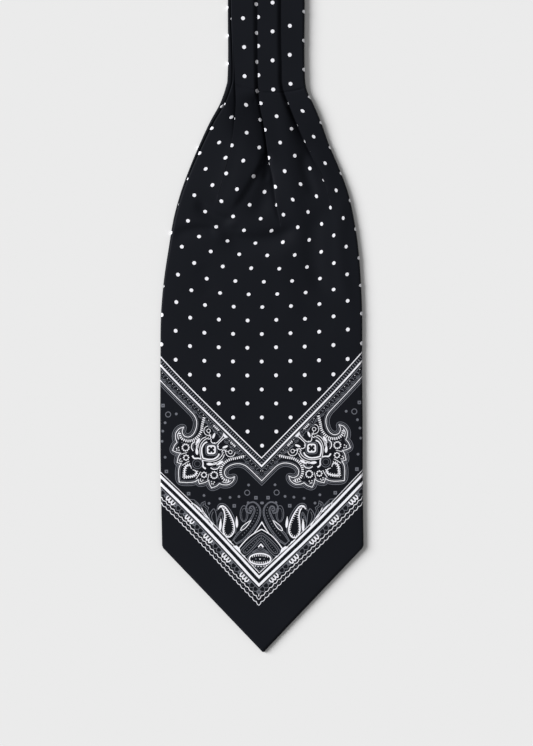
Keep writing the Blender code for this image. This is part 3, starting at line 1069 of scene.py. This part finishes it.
def palmette_crown(centre, pair):
    """Below the cup: bright leaves, a dark disc, and the flowers that fill the outline."""
    pair.area(turned(leaf_path(0.95, 6.0, 6), (12.2, 14.2), 0.24))
    pair.area(turned(leaf_path(1.0, 6.0, 6), (4.9, 24.2), -2.28))
    pair.line(flowing([(11.0, 18.6), (9.9, 19.2), (9.0, 20.8)], 4), 0.8)
    lips = flowing([(13.0, 18.2), (13.2, 21.0), (11.6, 23.4), (9.0, 24.2)], 4)
    pair.line(lips, 0.7)
    pair.line(flowing([(9.2, 22.6), (10.8, 22.6), (11.9, 21.2), (11.8, 19.4)], 3), 0.36, "grey")
    disc = (0.0, 28.9)
    centre.line(circle_path(disc, 3.7, 22), 0.4, "grey")
    centre.line(circle_path(disc, 2.2, 16), 0.26, "grey")
    arms = flowing([(0.3, 24.2), (2.4, 25.4), (4.6, 27.5), (7.0, 27.2)], 5)
    pair.line(arms, np.linspace(0.7, 1.2, len(arms)))
    heart = flowing([(3.4, 33.4), (4.7, 35.4), (3.6, 38.6), (0.0, 43.0)], 6)
    pair.line(heart, 0.9)
    beads(pair, outset(heart, -0.9), 9, 0.42)
    beads(pair, outset(heart, 0.9), 7, 0.34)
    pair.line(flowing([(0.6, 34.6), (2.4, 33.6), (3.4, 33.4)], 4), 0.5)
    palmette_flower(pair, (9.3, 31.4), (11.4, 37.6), 2.2)
    palmette_flower(pair, (14.8, 26.3), (19.5, 33.2), 2.9)
    pair.line(flowing([(5.8, 31.6), (6.6, 34.4), (7.2, 37.6)], 4), 0.5)
    pair.line(flowing([(11.4, 28.2), (12.7, 30.4), (13.8, 32.2)], 4), 0.42)


# Strewn small marks, on the right half: kind, across from the axis, print row
MarkRow = namedtuple("MarkRow", "kind across row")
STREWN = (
    MarkRow("dot", 0.4, 306.6),
    MarkRow("square", 4.5, 302.7),
    MarkRow("dot", 9.8, 293.2),
    MarkRow("ring", 10.9, 298.9),
    MarkRow("dot", 10.3, 306.4),
    MarkRow("dot", 17.1, 301.8),
    MarkRow("square", 20.6, 308.7),
    MarkRow("dot", 23.7, 302.4),
    MarkRow("dot", 31.2, 303.3),
    MarkRow("dot", 39.3, 306.8),
    MarkRow("dot", 43.0, 300.8),
    MarkRow("square", 54.4, 299.4),
    MarkRow("dot", 62.8, 239.6),
    MarkRow("ring", 68.8, 239.9),
    MarkRow("square", 72.6, 233.4),
    MarkRow("dot", 71.1, 246.0),
    MarkRow("dot", 72.9, 252.2),
    MarkRow("dot", 73.5, 259.7),
    MarkRow("dot", 71.4, 271.6),
    MarkRow("square", 70.6, 282.4),
)


def strewn_marks(pen):
    """Small rings, dots and squares strewn below the palmettes and beside them."""
    for mark in STREWN:
        place = (mark.across, mark.row)
        if mark.kind == "dot":
            pen.dots([place], 1.0, "grey", 3)
        elif mark.kind == "ring":
            pen.line(circle_path(place, 1.9, 16), 0.55, "grey")
        else:
            pen.line(turned(circle_path((0.0, 0.0), 1.15, 4), place, pi / 4.0), 0.85, "grey")


def toothed(pen, path, inset, count, reach, width, ink):
    """Short teeth that point inwards from an outline."""
    places = along_path(path, count + 1)[:-1]
    inwards = outset(path, inset)
    ends = along_path(inwards, count + 1)[:-1]
    for start, end in zip(places, ends):
        direction = (end - start) / max(np.linalg.norm(end - start), 1e-6)
        pen.line([start + direction * 0.3, start + direction * reach], width, ink)


def foot_group(inks):
    """Paisleys, chevrons and an oval that stand on the foot of the lower V."""
    pen = Pen(inks, lambda path: path)
    axis = Pen(inks, lambda path: path, mirrored=True)
    bold_paisley(pen)
    long_paisley(pen)
    chevrons(pen)
    toothed_oval(pen, axis)
    fronds(pen)
    # white ground between the motifs and the lower V
    pen.area([(6.6, 351.2), (9.6, 349.0), (12.0, 345.6), (14.0, 345.4)])
    pen.area([(14.4, 344.6), (15.4, 340.6), (18.0, 338.4), (20.8, 338.8)])
    pen.area([(21.0, 338.0), (22.4, 335.0), (26.0, 333.4)])


def bold_paisley(pen):
    """An upright white paisley, whose tail hooks outwards, with white leaves beside it."""
    rim = [
        (32.2, 310.8), (30.9, 309.0), (28.3, 309.0), (25.4, 312.2), (22.4, 317.6), (20.5, 323.4),
        (20.6, 328.4), (23.4, 331.9), (26.9, 331.0), (28.5, 327.0), (28.1, 321.6), (27.5, 316.4),
        (28.2, 312.4), (29.4, 310.6),
    ]
    outline_path = flowing(rim, 4)
    pen.line(outline_path, 1.0)
    pen.line([(29.6, 309.6), (31.4, 309.6), (32.6, 311.2)], 0.8)
    toothed(pen, outline_path[8:-6], -1.5, 26, 1.7, 0.42, "white")
    halo = [
        (33.6, 312.6), (32.2, 307.8), (28.2, 307.2), (24.2, 310.8), (20.8, 317.0), (19.0, 323.6),
        (19.2, 329.2),
    ]
    pen.line(flowing(halo, 4), 0.5, "grey")
    pen.area(turned(leaf_path(0.9, 8.8), (18.4, 325.0), pi + 0.05))
    pen.area(turned(leaf_path(0.95, 9.8), (31.0, 327.6), pi - 0.06))
    pen.line(turned(leaf_path(2.4, 15.0, 6), (31.6, 328.6), pi - 0.12), 0.36, "grey")


def long_paisley(pen):
    """A long grey paisley that leans over the chevrons and curls at its top."""
    long_spine = [
        (19.4, 335.8), (13.0, 329.4), (7.6, 322.6), (4.4, 316.6), (3.5, 311.4), (6.2, 307.6),
        (9.8, 308.6), (10.6, 312.2), (8.0, 313.4),
    ]
    spine = flowing(long_spine, 6)
    for half, width in ((3.7, 0.5), (2.5, 0.42)):
        along = np.linspace(0.0, 1.0, len(spine))
        taper = np.interp(along, [0.0, 0.08, 0.4, 0.62, 1.0], [0.6, 1.0, 0.78, 0.5, 0.3])
        offset = sideways(spine) * (half * taper)[:, None]
        loop = np.vstack([spine + offset, (spine - offset)[::-1], (spine + offset)[:1]])
        pen.line(loop, width, "grey")
        if half < 3.0:
            toothed(pen, loop, 1.0, 50, 0.9, 0.28, "grey")
    beads(pen, spine[5:27], 12, 0.38, "grey")
    pen.line(turned(leaf_path(1.15, 10.4, 6), (15.4, 326.9), pi - 0.78), 0.55)
    pen.line(circle_path((8.4, 311.6), 1.2, 10), 0.5, "grey")
    petal = turned(circle_path((0.0, 0.0), 2.9, 20, squash=2.1), (13.3, 314.6), 0.0)
    pen.line(petal, 0.42, "grey")
    pen.line(turned(circle_path((0.0, 0.0), 1.8, 16, squash=2.6), (13.3, 315.2), 0.0), 0.26, "grey")


def chevrons(pen):
    """Two nested white chevrons, and a thick dark one with round ends below them."""
    upper = flowing([(-0.9, 320.2), (0.0, 320.9), (2.6, 325.0), (6.0, 329.6)], 4)
    pen.line(upper, np.linspace(1.1, 0.5, len(upper)))
    lower = [(-0.8, 326.0), (0.0, 326.2), (3.4, 328.0), (8.4, 331.4), (12.8, 336.0), (16.4, 340.6)]
    pen.line(flowing(lower, 4), 0.75)
    rim = [
        (-0.8, 328.6), (1.6, 329.4), (6.4, 333.0), (11.4, 337.8), (14.6, 342.2), (14.0, 345.0),
        (11.2, 345.8), (8.0, 343.6), (4.0, 339.0), (0.8, 335.2), (-0.8, 334.4),
    ]
    outer = flowing(rim, 4)
    pen.line(outer, 0.5, "grey")
    inner = [
        (-0.8, 330.2), (1.4, 330.8), (5.8, 334.2), (10.6, 338.8), (13.0, 342.0), (12.4, 343.8),
        (10.6, 343.9), (8.4, 342.2), (4.6, 337.8), (1.4, 333.8), (-0.8, 333.0),
    ]
    inner_path = flowing(inner, 4)
    pen.line(inner_path, 0.36, "grey")
    toothed(pen, inner_path, 1.0, 30, 0.9, 0.28, "grey")
    beads(pen, flowing([(0.0, 331.8), (3.4, 334.4), (7.6, 338.6), (11.2, 342.6)], 4), 9, 0.38, "grey")
    pen.line([(-0.4, 337.0), (0.0, 337.2), (1.9, 339.4)], 1.0)
    pen.line(flowing([(-0.6, 339.8), (0.0, 339.8), (3.0, 341.2), (6.2, 343.4)], 4), 0.5, "grey")
    pen.line(flowing([(-0.6, 341.4), (0.0, 341.4), (3.0, 342.2), (7.4, 344.8)], 4), 0.42, "grey")


def toothed_oval(pen, axis):
    """A white oval with teeth inside it, and a small fan below it."""
    middle = (0.0, 348.2)
    oval = circle_path(middle, 8.0, 40, squash=0.51)
    pen.line(oval, 1.0)
    pen.line(circle_path(middle, 9.4, 40, squash=0.58), 0.4, "grey")
    for index in range(-4, 5):
        x = index * 1.4
        reach = 3.4 * sqrt(1.0 - (x / 8.0) ** 2)
        axis.line([(x, middle[1] - reach), (x, middle[1] - reach + 1.3)], 0.5)
        axis.line([(x, middle[1] + reach), (x, middle[1] + reach - 1.3)], 0.5)
    pen.dots([(0.0, 348.2)], 0.5)
    pen.dots([(3.1, 348.2)], 0.5, "grey")
    pen.dots([(1.1, 353.7), (3.2, 353.4), (5.0, 352.8)], 0.46)
    pen.line(flowing([(-0.4, 357.4), (1.8, 356.0), (3.6, 354.4)], 4), 0.42, "grey")
    pen.dots([(0.0, 355.2), (1.9, 355.0)], 0.4, "grey", 2)


def fronds(pen):
    """White and grey leaves that lean on the arm of the lower V, and a zigzag crest on them."""
    low_back = flowing([(52.7, 306.7), (50.2, 307.6), (47.0, 310.2), (44.2, 313.6)], 5)
    pen.line(low_back, np.linspace(0.5, 1.0, len(low_back)))
    toothed(pen, low_back[3:], -1.0, 6, 1.3, 0.42, "white")
    high_back = flowing([(44.8, 310.2), (43.2, 313.4), (40.8, 316.6), (38.6, 319.8), (36.2, 323.4)], 5)
    pen.line(high_back, np.linspace(0.5, 0.85, len(high_back)))
    pen.line(outset(high_back, -1.6)[6:-2], 0.4, "grey")
    beads(pen, outset(high_back, -1.1)[8:-6], 5, 0.36)
    crest = [
        (54.0, 303.8), (50.6, 304.0), (48.0, 306.2), (45.8, 308.8), (44.9, 306.6), (42.4, 305.2),
        (41.9, 308.4), (39.6, 310.0), (40.4, 312.2), (39.4, 316.0),
    ]
    pen.line(crest, 0.42, "grey")
    pen.line([(x - 0.6, row + 1.5) for x, row in crest[1:6]], 0.34, "grey")
    pen.line([(x + 1.5, row + 0.5) for x, row in crest[5:]], 0.3, "grey")
    dark_leaf = [
        (33.2, 325.4), (36.6, 321.6), (39.0, 317.4), (38.4, 314.0), (35.6, 310.9), (34.0, 315.0),
        (33.6, 319.6), (33.0, 324.8),
    ]
    pen.line(flowing(dark_leaf, 4), 0.5, "grey")
    pen.line(flowing([(36.2, 313.2), (37.2, 315.6), (37.0, 318.6), (35.4, 321.8)], 4), 0.42, "grey")
    last_leaf = [(32.6, 326.0), (33.1, 320.8), (32.2, 316.6), (30.2, 313.4), (29.2, 316.0), (29.4, 319.0)]
    pen.line(flowing(last_leaf, 4), 0.42, "grey")
    beads(pen, flowing([(30.2, 315.6), (31.2, 318.0), (31.6, 321.0)], 3), 4, 0.34, "grey")


# The row of loops hangs in groups, with small rings and grey loops between them
GROUP_START = 6.4
GROUP_PITCH = 20.2
SCALLOP_PITCH = 4.3


def lower_bands(pen):
    """The double white V, the row of loops below it, and two scalloped lines."""

    def rule(outwards, width, ink="white"):
        pen.line(polyline([(-24.0, outwards), (ARM, outwards)]), width, ink)

    rule(-1.1, 0.42)
    rule(1.15, 1.75)
    rule(5.35, 1.8)
    rule(7.45, 0.5, "grey")
    for group in range(-1, 6):
        middle = GROUP_START + GROUP_PITCH * group
        for shift in (-2.55, 0.0, 2.55):
            cup(pen, middle + shift, 0.98, 0.95, "white")
        for shift in (-5.1, 5.1):
            pen.line(circle_path((middle + shift, 9.2), 0.95, 10), 0.9, "grey")
        for shift in (8.2, 12.0):
            cup(pen, middle + shift, 1.7, 0.4, "grey")
    for outwards, depth in ((11.9, 1.05), (15.0, 0.95)):
        along = np.arange(-24.0, ARM, SCALLOP_PITCH / 8.0)
        wave = np.abs(np.cos(pi * (along + outwards) / SCALLOP_PITCH)) ** 0.8
        pen.line(np.stack([along, outwards + depth * wave], axis=1), 0.5)
    for index in range(60):
        along = -8.0 + SCALLOP_PITCH * index / 2.0
        pen.line([(along, 13.7), (along, 14.6)], 0.4, "grey")


def cup(pen, along, half_width, weight, ink):
    """A loop that hangs from the edge of a band."""
    half = half_width
    loop = [(-half, 7.7), (-half * 1.06, 9.5), (0.0, 10.2 + half * 0.6), (half * 1.06, 9.5), (half, 7.7)]
    pen.line(flowing([(along + x, outwards) for x, outwards in loop], 3), weight, ink)


def drawn_border():
    """Both inks of the whole border, in the flat print."""
    inks = {"white": bmesh.new(), "grey": bmesh.new()}
    straight_bands(Pen(inks, lambda path: band_place(UPPER_V, path)))
    palmette(inks)
    strewn_marks(Pen(inks, lambda path: path))
    foot_group(inks)
    lower_bands(Pen(inks, lambda path: band_place(LOWER_V, path)))
    for bm in inks.values():
        cut_print(bm, joined(bm.verts), 0.0, "left")
        everything = joined(bm.verts)
        bmesh.ops.mirror(bm, geom=everything, matrix=Matrix(), merge_dist=1e-4, axis="X")
        bmesh.ops.remove_doubles(bm, verts=list(bm.verts), dist=1e-4)
        for vert in bm.verts:
            lean = straight(SKEW, "lean", vert.co.y)
            vert.co.y += vert.co.x * straight(SKEW, "turn", vert.co.y)
            vert.co.x += BORDER_AXIS + lean
        cut_print(bm, joined(bm.verts), BORDER_EDGE, "left")
        cut_print(bm, joined(bm.verts), STRIP_WIDTH - BORDER_EDGE, "right")
        for inset in ROLL_CUTS:
            cut_print(bm, joined(bm.verts), inset)
            cut_print(bm, joined(bm.verts), STRIP_WIDTH - inset)
        bmesh.ops.triangulate(bm, faces=[face for face in bm.faces if len(face.verts) > 4])
    return inks


# ---------------------------------------------------------------- finishes


def node(tree, kind, place=(0, 0), **values):
    """A shader node with its settings and unlinked inputs."""
    made = tree.nodes.new(kind)
    made.location = place
    for name, value in values.items():
        if hasattr(made, name):
            setattr(made, name, value)
        else:
            made.inputs[name.replace("_", " ")].default_value = value
    return made


def link(tree, start, output, end, entry):
    """Join two sockets by name or number."""
    tree.links.new(start.outputs[output], end.inputs[entry])


def twill_group():
    """Twill weave of fine silk: fine diagonal ribs, uneven threads and faint cloudiness."""
    tree = bpy.data.node_groups.new("silk twill weave", "ShaderNodeTree")
    face = tree.interface
    face.new_socket("Rib Scale", in_out="INPUT", socket_type="NodeSocketFloat")
    face.new_socket("Thread Depth", in_out="INPUT", socket_type="NodeSocketFloat")
    face.new_socket("Height", in_out="OUTPUT", socket_type="NodeSocketFloat")
    face.new_socket("Threads", in_out="OUTPUT", socket_type="NodeSocketFloat")
    face.new_socket("Clouds", in_out="OUTPUT", socket_type="NodeSocketFloat")
    entry = node(tree, "NodeGroupInput", (-900, 0))
    out = node(tree, "NodeGroupOutput", (500, 0))
    flat = node(tree, "ShaderNodeUVMap", (-900, 300), uv_map="Cloth")
    turn = node(tree, "ShaderNodeMapping", (-700, 300), Rotation=(0.0, 0.0, radians(52.0)))
    ribs = node(tree, "ShaderNodeTexWave", (-450, 300), wave_type="BANDS", bands_direction="X")
    ribs.inputs["Distortion"].default_value = 1.6
    ribs.inputs["Detail"].default_value = 1.0
    ribs.inputs["Detail Scale"].default_value = 1.4
    stretch = node(tree, "ShaderNodeMapping", (-700, 0), Scale=(1.0, 14.0, 1.0))
    thread = node(tree, "ShaderNodeTexNoise", (-450, 0), Scale=190.0, Detail=3.0, Roughness=0.6)
    clouds = node(tree, "ShaderNodeTexNoise", (-450, -300), Scale=26.0, Detail=2.0, Roughness=0.5)
    deepen = node(tree, "ShaderNodeMath", (-150, 100), operation="MULTIPLY")
    add = node(tree, "ShaderNodeMath", (100, 200), operation="ADD")
    link(tree, flat, "UV", turn, "Vector")
    link(tree, turn, "Vector", ribs, "Vector")
    link(tree, entry, "Rib Scale", ribs, "Scale")
    link(tree, flat, "UV", stretch, "Vector")
    link(tree, stretch, "Vector", thread, "Vector")
    link(tree, flat, "UV", clouds, "Vector")
    link(tree, thread, "Fac", deepen, 0)
    link(tree, entry, "Thread Depth", deepen, 1)
    link(tree, ribs, "Fac", add, 0)
    link(tree, deepen, "Value", add, 1)
    link(tree, add, "Value", out, "Height")
    link(tree, thread, "Fac", out, "Threads")
    link(tree, clouds, "Fac", out, "Clouds")
    return tree


RIB_SCALE = 620.0


def silk(name, weave, dark, light, gloss, sheen, bump):
    """Twill silk: dark and light are the ends of its colour variation, gloss of its roughness."""
    finish = bpy.data.materials.new(name)
    finish.use_nodes = True
    tree = finish.node_tree
    shader = tree.nodes["Principled BSDF"]
    threads = node(tree, "ShaderNodeGroup", (-900, 0))
    threads.node_tree = weave
    threads.inputs["Rib Scale"].default_value = RIB_SCALE
    threads.inputs["Thread Depth"].default_value = 0.8
    mottle = node(tree, "ShaderNodeMath", (-650, 200), operation="MULTIPLY_ADD")
    mottle.inputs[1].default_value = 0.55
    half = node(tree, "ShaderNodeMath", (-650, 0), operation="MULTIPLY")
    half.inputs[1].default_value = 0.45
    colour = node(tree, "ShaderNodeMix", (-400, 200), data_type="RGBA")
    colour.inputs[6].default_value = (*dark, 1.0)
    colour.inputs[7].default_value = (*light, 1.0)
    rough = node(tree, "ShaderNodeMapRange", (-400, -100))
    rough.inputs["To Min"].default_value = gloss[0]
    rough.inputs["To Max"].default_value = gloss[1]
    relief = node(tree, "ShaderNodeBump", (-400, -350), Strength=bump, Distance=0.00006)
    link(tree, threads, "Threads", half, 0)
    link(tree, threads, "Clouds", mottle, 0)
    link(tree, half, "Value", mottle, 2)
    link(tree, mottle, "Value", colour, 0)
    link(tree, colour, 2, shader, "Base Color")
    link(tree, threads, "Threads", rough, "Value")
    link(tree, rough, "Result", shader, "Roughness")
    link(tree, threads, "Height", relief, "Height")
    link(tree, relief, "Normal", shader, "Normal")
    shader.inputs["Specular IOR Level"].default_value = sheen[0]
    shader.inputs["Sheen Weight"].default_value = sheen[1]
    shader.inputs["Sheen Roughness"].default_value = 0.45
    shader.inputs["Sheen Tint"].default_value = (0.72, 0.8, 1.0, 1.0)
    return finish


def dyed_silk(weave):
    """The near-black navy ground of the printed face."""
    return silk(
        "near-black navy silk twill",
        weave,
        dark=(0.0064, 0.0073, 0.0100),
        light=(0.0098, 0.0109, 0.0146),
        gloss=(0.48, 0.60),
        sheen=(0.04, 0.01),
        bump=0.35,
    )


def backing_silk(weave):
    """The backing's silk: the same dye on a slightly duller cloth."""
    return silk(
        "navy backing silk",
        weave,
        dark=(0.0068, 0.0077, 0.0104),
        light=(0.0104, 0.0115, 0.0152),
        gloss=(0.50, 0.62),
        sheen=(0.05, 0.02),
        bump=0.4,
    )


def white_ink(weave):
    """White screen print on the silk."""
    return silk(
        "white screen print",
        weave,
        dark=(0.80, 0.80, 0.85),
        light=(0.90, 0.90, 0.95),
        gloss=(0.5, 0.62),
        sheen=(0.3, 0.0),
        bump=0.3,
    )


def grey_ink(weave):
    """Grey screen print: fine outlines that let the ground show."""
    return silk(
        "grey screen print",
        weave,
        dark=(0.115, 0.122, 0.145),
        light=(0.165, 0.172, 0.200),
        gloss=(0.5, 0.62),
        sheen=(0.3, 0.0),
        bump=0.3,
    )


def paper(name, shade):
    """Plain matt paper for the floor."""
    finish = bpy.data.materials.new(name)
    finish.use_nodes = True
    shader = finish.node_tree.nodes["Principled BSDF"]
    shader.inputs["Base Color"].default_value = (*shade, 1.0)
    shader.inputs["Roughness"].default_value = 0.95
    shader.inputs["Specular IOR Level"].default_value = 0.0
    return finish


# ---------------------------------------------------------------- pieces

BLADE_ROWS = 264
NECK_ROWS = 132
BACK_COLUMNS = 72
ROLL_SHARE = 0.22


def blade_down(along):
    """Rows of the blade's cloth, closer together at the neck line and in the folds."""
    return np.interp(along, [0.0, 0.06, 0.46, 1.0], [0.0, 8.0, 112.0, BLADE_LENGTH])


def neck_down(along):
    """Rows of the neckband's cloth, closer together at both neck lines."""
    share = np.interp(np.abs(2.0 * along - 1.0), [0.0, 0.8, 1.0], [0.0, 0.96, 1.0])
    return -NECK_LINE * (1.0 - share)


def near_front():
    """The front cloth of the near blade, folds included."""

    def place(across, along):
        return lay(fold_columns(across, blade_down(along)), blade_down(along))

    def flat(across, along):
        down = blade_down(along)
        cut = fold_columns(across, down)
        return np.stack([cut, down_row(cut, down)], axis=-1)

    bm = grid_cloth(sum(PANEL_COLUMNS), BLADE_ROWS, place, flat)
    face_out(bm, True)
    return bm


def neck_front():
    """The pleated cloth of the neckband, the same on both sides of its middle."""

    def halves(along):
        return neck_down(along), np.where(along < 0.5, 1.0, -1.0)

    def place(across, along):
        down, side = halves(along)
        points = lay(fold_columns(across, down), down)
        points[:, 1] *= side
        return points

    def flat(across, along):
        down, side = halves(along)
        cut = fold_columns(across, down)
        return np.stack([cut, down * side], axis=-1)

    bm = grid_cloth(sum(PANEL_COLUMNS), NECK_ROWS, place, flat)
    face_out(bm, True)
    return bm


def back_columns(across, down):
    """Places across the back cloth: closer together round its roll."""
    rolled, flat = back_reach(down)
    roll_part = rolled * (1.0 - np.clip(across / ROLL_SHARE, 0.0, 1.0))
    flat_part = flat * np.clip((across - ROLL_SHARE) / (1.0 - ROLL_SHARE), 0.0, 1.0)
    return roll_part + flat_part


def near_back():
    """The back cloth of the near blade, with its left edge rolled over."""

    def place(across, along):
        down = blade_down(along)
        return back_shape(back_columns(across, down), down)

    def flat(across, along):
        down = blade_down(along)
        return np.stack([back_columns(across, down), down], axis=-1)

    bm = grid_cloth(BACK_COLUMNS, BLADE_ROWS // 2, place, flat)
    face_out(bm, False)
    return bm


def neck_back():
    """The back cloth of the neckband."""

    def place(across, along):
        down = -NECK_LINE * (1.0 - np.abs(2.0 * along - 1.0))
        points = back_shape(back_columns(across, down), down)
        points[:, 1] *= np.where(along < 0.5, 1.0, -1.0)
        return points

    def flat(across, along):
        down = NECK_LINE * (2.0 * along - 1.0)
        return np.stack([back_columns(across, down), down], axis=-1)

    bm = grid_cloth(BACK_COLUMNS, NECK_ROWS // 2, place, flat)
    face_out(bm, False)
    return bm


BACK_DOT_X = -25.5
BACK_DOT_DOWN = 1.3


def back_printed(x, down):
    """Points on the back cloth of places in its print, which runs straight down it."""
    left, _ = outline(down)
    shown = 1.0 - ease(down / BACK_ROLL_END)
    radius = (0.55 + (BACK_ROLL_HEIGHT - 0.55) * shown) / 2.0
    foot = left + 0.1 * (1.0 - shown) + radius
    return back_shape(x - foot, down)


def back_dots(lowest, highest):
    """Dots of the back cloth between two distances down, some of them on its roll."""
    bm = bmesh.new()
    for column in range(-5, 11):
        x = BACK_DOT_X + DOT_COLUMN * column
        down = BACK_DOT_DOWN + (DOT_PITCH / 2.0 if column % 2 else 0.0) - DOT_PITCH * 10
        while down < highest:
            left, right = (float(value) for value in outline(np.array(down)))
            rolled, _ = back_reach(np.array(down))
            if down >= lowest and left + rolled + 2.6 < x < right - 2.4:
                dot(bm, (x, down), DOT_RADIUS, 8 if x < left + 3.0 else 4)
            down += DOT_PITCH
    lay_ink(bm, UNDER_DOT_LIFT, back_printed, -1.0)
    return bm


def far_copy(bm):
    """A copy of a near piece, mirrored onto the far half."""
    copy = bm.copy()
    to_far_half(copy)
    return copy


# How far the border's two inks stand proud of the cloth
WHITE_LIFT = 0.10
GREY_LIFT = 0.075


def make_cravat():
    """All pieces of the cravat, each standing for its CAD node."""
    weave = twill_group()
    ground = dyed_silk(weave)
    backing = backing_silk(weave)
    inks = {"white": white_ink(weave), "grey": grey_ink(weave)}

    border = drawn_border()
    lay_ink(border["white"], WHITE_LIFT)
    lay_ink(border["grey"], GREY_LIFT)
    sides = {
        "near": (lambda bm: bm.copy(), "blade_front", "blade_back"),
        "far": (far_copy, "far_blade_front", "far_blade_back"),
    }
    shapes = {
        "front_cloth": near_front(),
        "back_cloth": near_back(),
        "front_dots": front_dots(-1.5, BLADE_LENGTH),
        "border_white": border["white"],
        "border_grey": border["grey"],
        "back_dots": back_dots(0.0, BLADE_LENGTH),
    }
    finishes = {
        "front_cloth": (ground, "printed_silk"),
        "back_cloth": (backing, "back_silk"),
        "front_dots": (inks["white"], "printed_silk"),
        "border_white": (inks["white"], "printed_silk"),
        "border_grey": (inks["grey"], "printed_silk"),
        "back_dots": (inks["white"], "back_silk"),
    }
    for side, (copied, front_node, back_node) in sides.items():
        made = {}
        for name, bm in shapes.items():
            finish, slot_name = finishes[name]
            made[name] = finish_piece(side + "_" + name, copied(bm), finish, slot_name)
        thicken(made["front_cloth"])
        thicken(made["back_cloth"])
        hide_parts(front_node)
        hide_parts(back_node)
    neck = finish_piece("neckband_front_cloth", neck_front(), ground, "printed_silk")
    neck_under = finish_piece("neckband_back_cloth", neck_back(), backing, "back_silk")
    neck_top = neck_print(front_dots(-NECK_LINE - 0.5, -1.5))
    neck_dots = finish_piece("neckband_front_dots", neck_top, inks["white"], "printed_silk")
    neck_bottom = neck_print(back_dots(-NECK_LINE, -1.0))
    under_dots = finish_piece("neckband_back_dots", neck_bottom, inks["white"], "back_silk")
    thicken(neck)
    thicken(neck_under)
    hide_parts("neckband_pleat_1", "neckband_pleat_2", "neckband_pleat_3")
    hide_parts("neckband_back")


def neck_print(bm):
    """Print of half the neckband, with its mirror image on the other half."""
    across_middle = [vert for vert in bm.verts if vert.co.y > -1e-5]
    for vert in across_middle:
        vert.co.y = min(vert.co.y, 0.0)
    copy = bm.copy()
    to_far_half(copy)
    held = bpy.data.meshes.new("far half of the neckband's print")
    copy.to_mesh(held)
    copy.free()
    bm.from_mesh(held)
    bpy.data.meshes.remove(held)
    return bm


# ---------------------------------------------------------------- studio

FLOOR_SIZE = 6.0
FLOOR_SHADE = (0.80, 0.80, 0.80)
KEY_STRENGTH = 4.70
KEY_HEIGHT = radians(30.0)
KEY_SPREAD = radians(32.0)
KEY_HEADING = (8.9, -3.3)
FILL_STRENGTH = 0.29
CAMERA_PLACE = (0.0037, -0.4027, 1.311)
CAMERA_LENS = 85.0
CAMERA_SENSOR = 36.0


def make_floor():
    """A large sheet of pale paper that the cravat lies on."""
    bm = bmesh.new()
    bmesh.ops.create_grid(bm, x_segments=1, y_segments=1, size=FLOOR_SIZE / 2.0)
    mesh = bpy.data.meshes.new("floor")
    bm.to_mesh(mesh)
    bm.free()
    mesh.materials.append(paper("pale floor paper", FLOOR_SHADE))
    floor = bpy.data.objects.new("floor", mesh)
    bpy.context.scene.collection.objects.link(floor)


def make_light():
    """A large soft light from the left and a little from above it, and an even fill."""
    lamp = bpy.data.lights.new("soft key light", "SUN")
    lamp.energy = KEY_STRENGTH
    lamp.angle = KEY_SPREAD
    key = bpy.data.objects.new("soft key light", lamp)
    heading = Vector((KEY_HEADING[0], KEY_HEADING[1], 0.0)).normalized()
    heading *= cos(KEY_HEIGHT)
    heading.z = -sin(KEY_HEIGHT)
    key.rotation_euler = heading.to_track_quat("-Z", "Y").to_euler()
    bpy.context.scene.collection.objects.link(key)
    world = bpy.data.worlds.new("even fill")
    world.use_nodes = True
    fill = world.node_tree.nodes["Background"]
    fill.inputs["Color"].default_value = (1.0, 1.0, 1.0, 1.0)
    fill.inputs["Strength"].default_value = FILL_STRENGTH
    bpy.context.scene.world = world


def make_camera():
    """Straight above the near blade."""
    view = bpy.data.cameras.new("view from above")
    view.lens = CAMERA_LENS
    view.sensor_width = CAMERA_SENSOR
    view.clip_end = 20.0
    camera = bpy.data.objects.new("view from above", view)
    camera.location = CAMERA_PLACE
    bpy.context.scene.collection.objects.link(camera)
    bpy.context.scene.camera = camera


make_floor()
make_light()
make_camera()
make_cravat()
bpy.context.scene.view_settings.view_transform = "Standard"
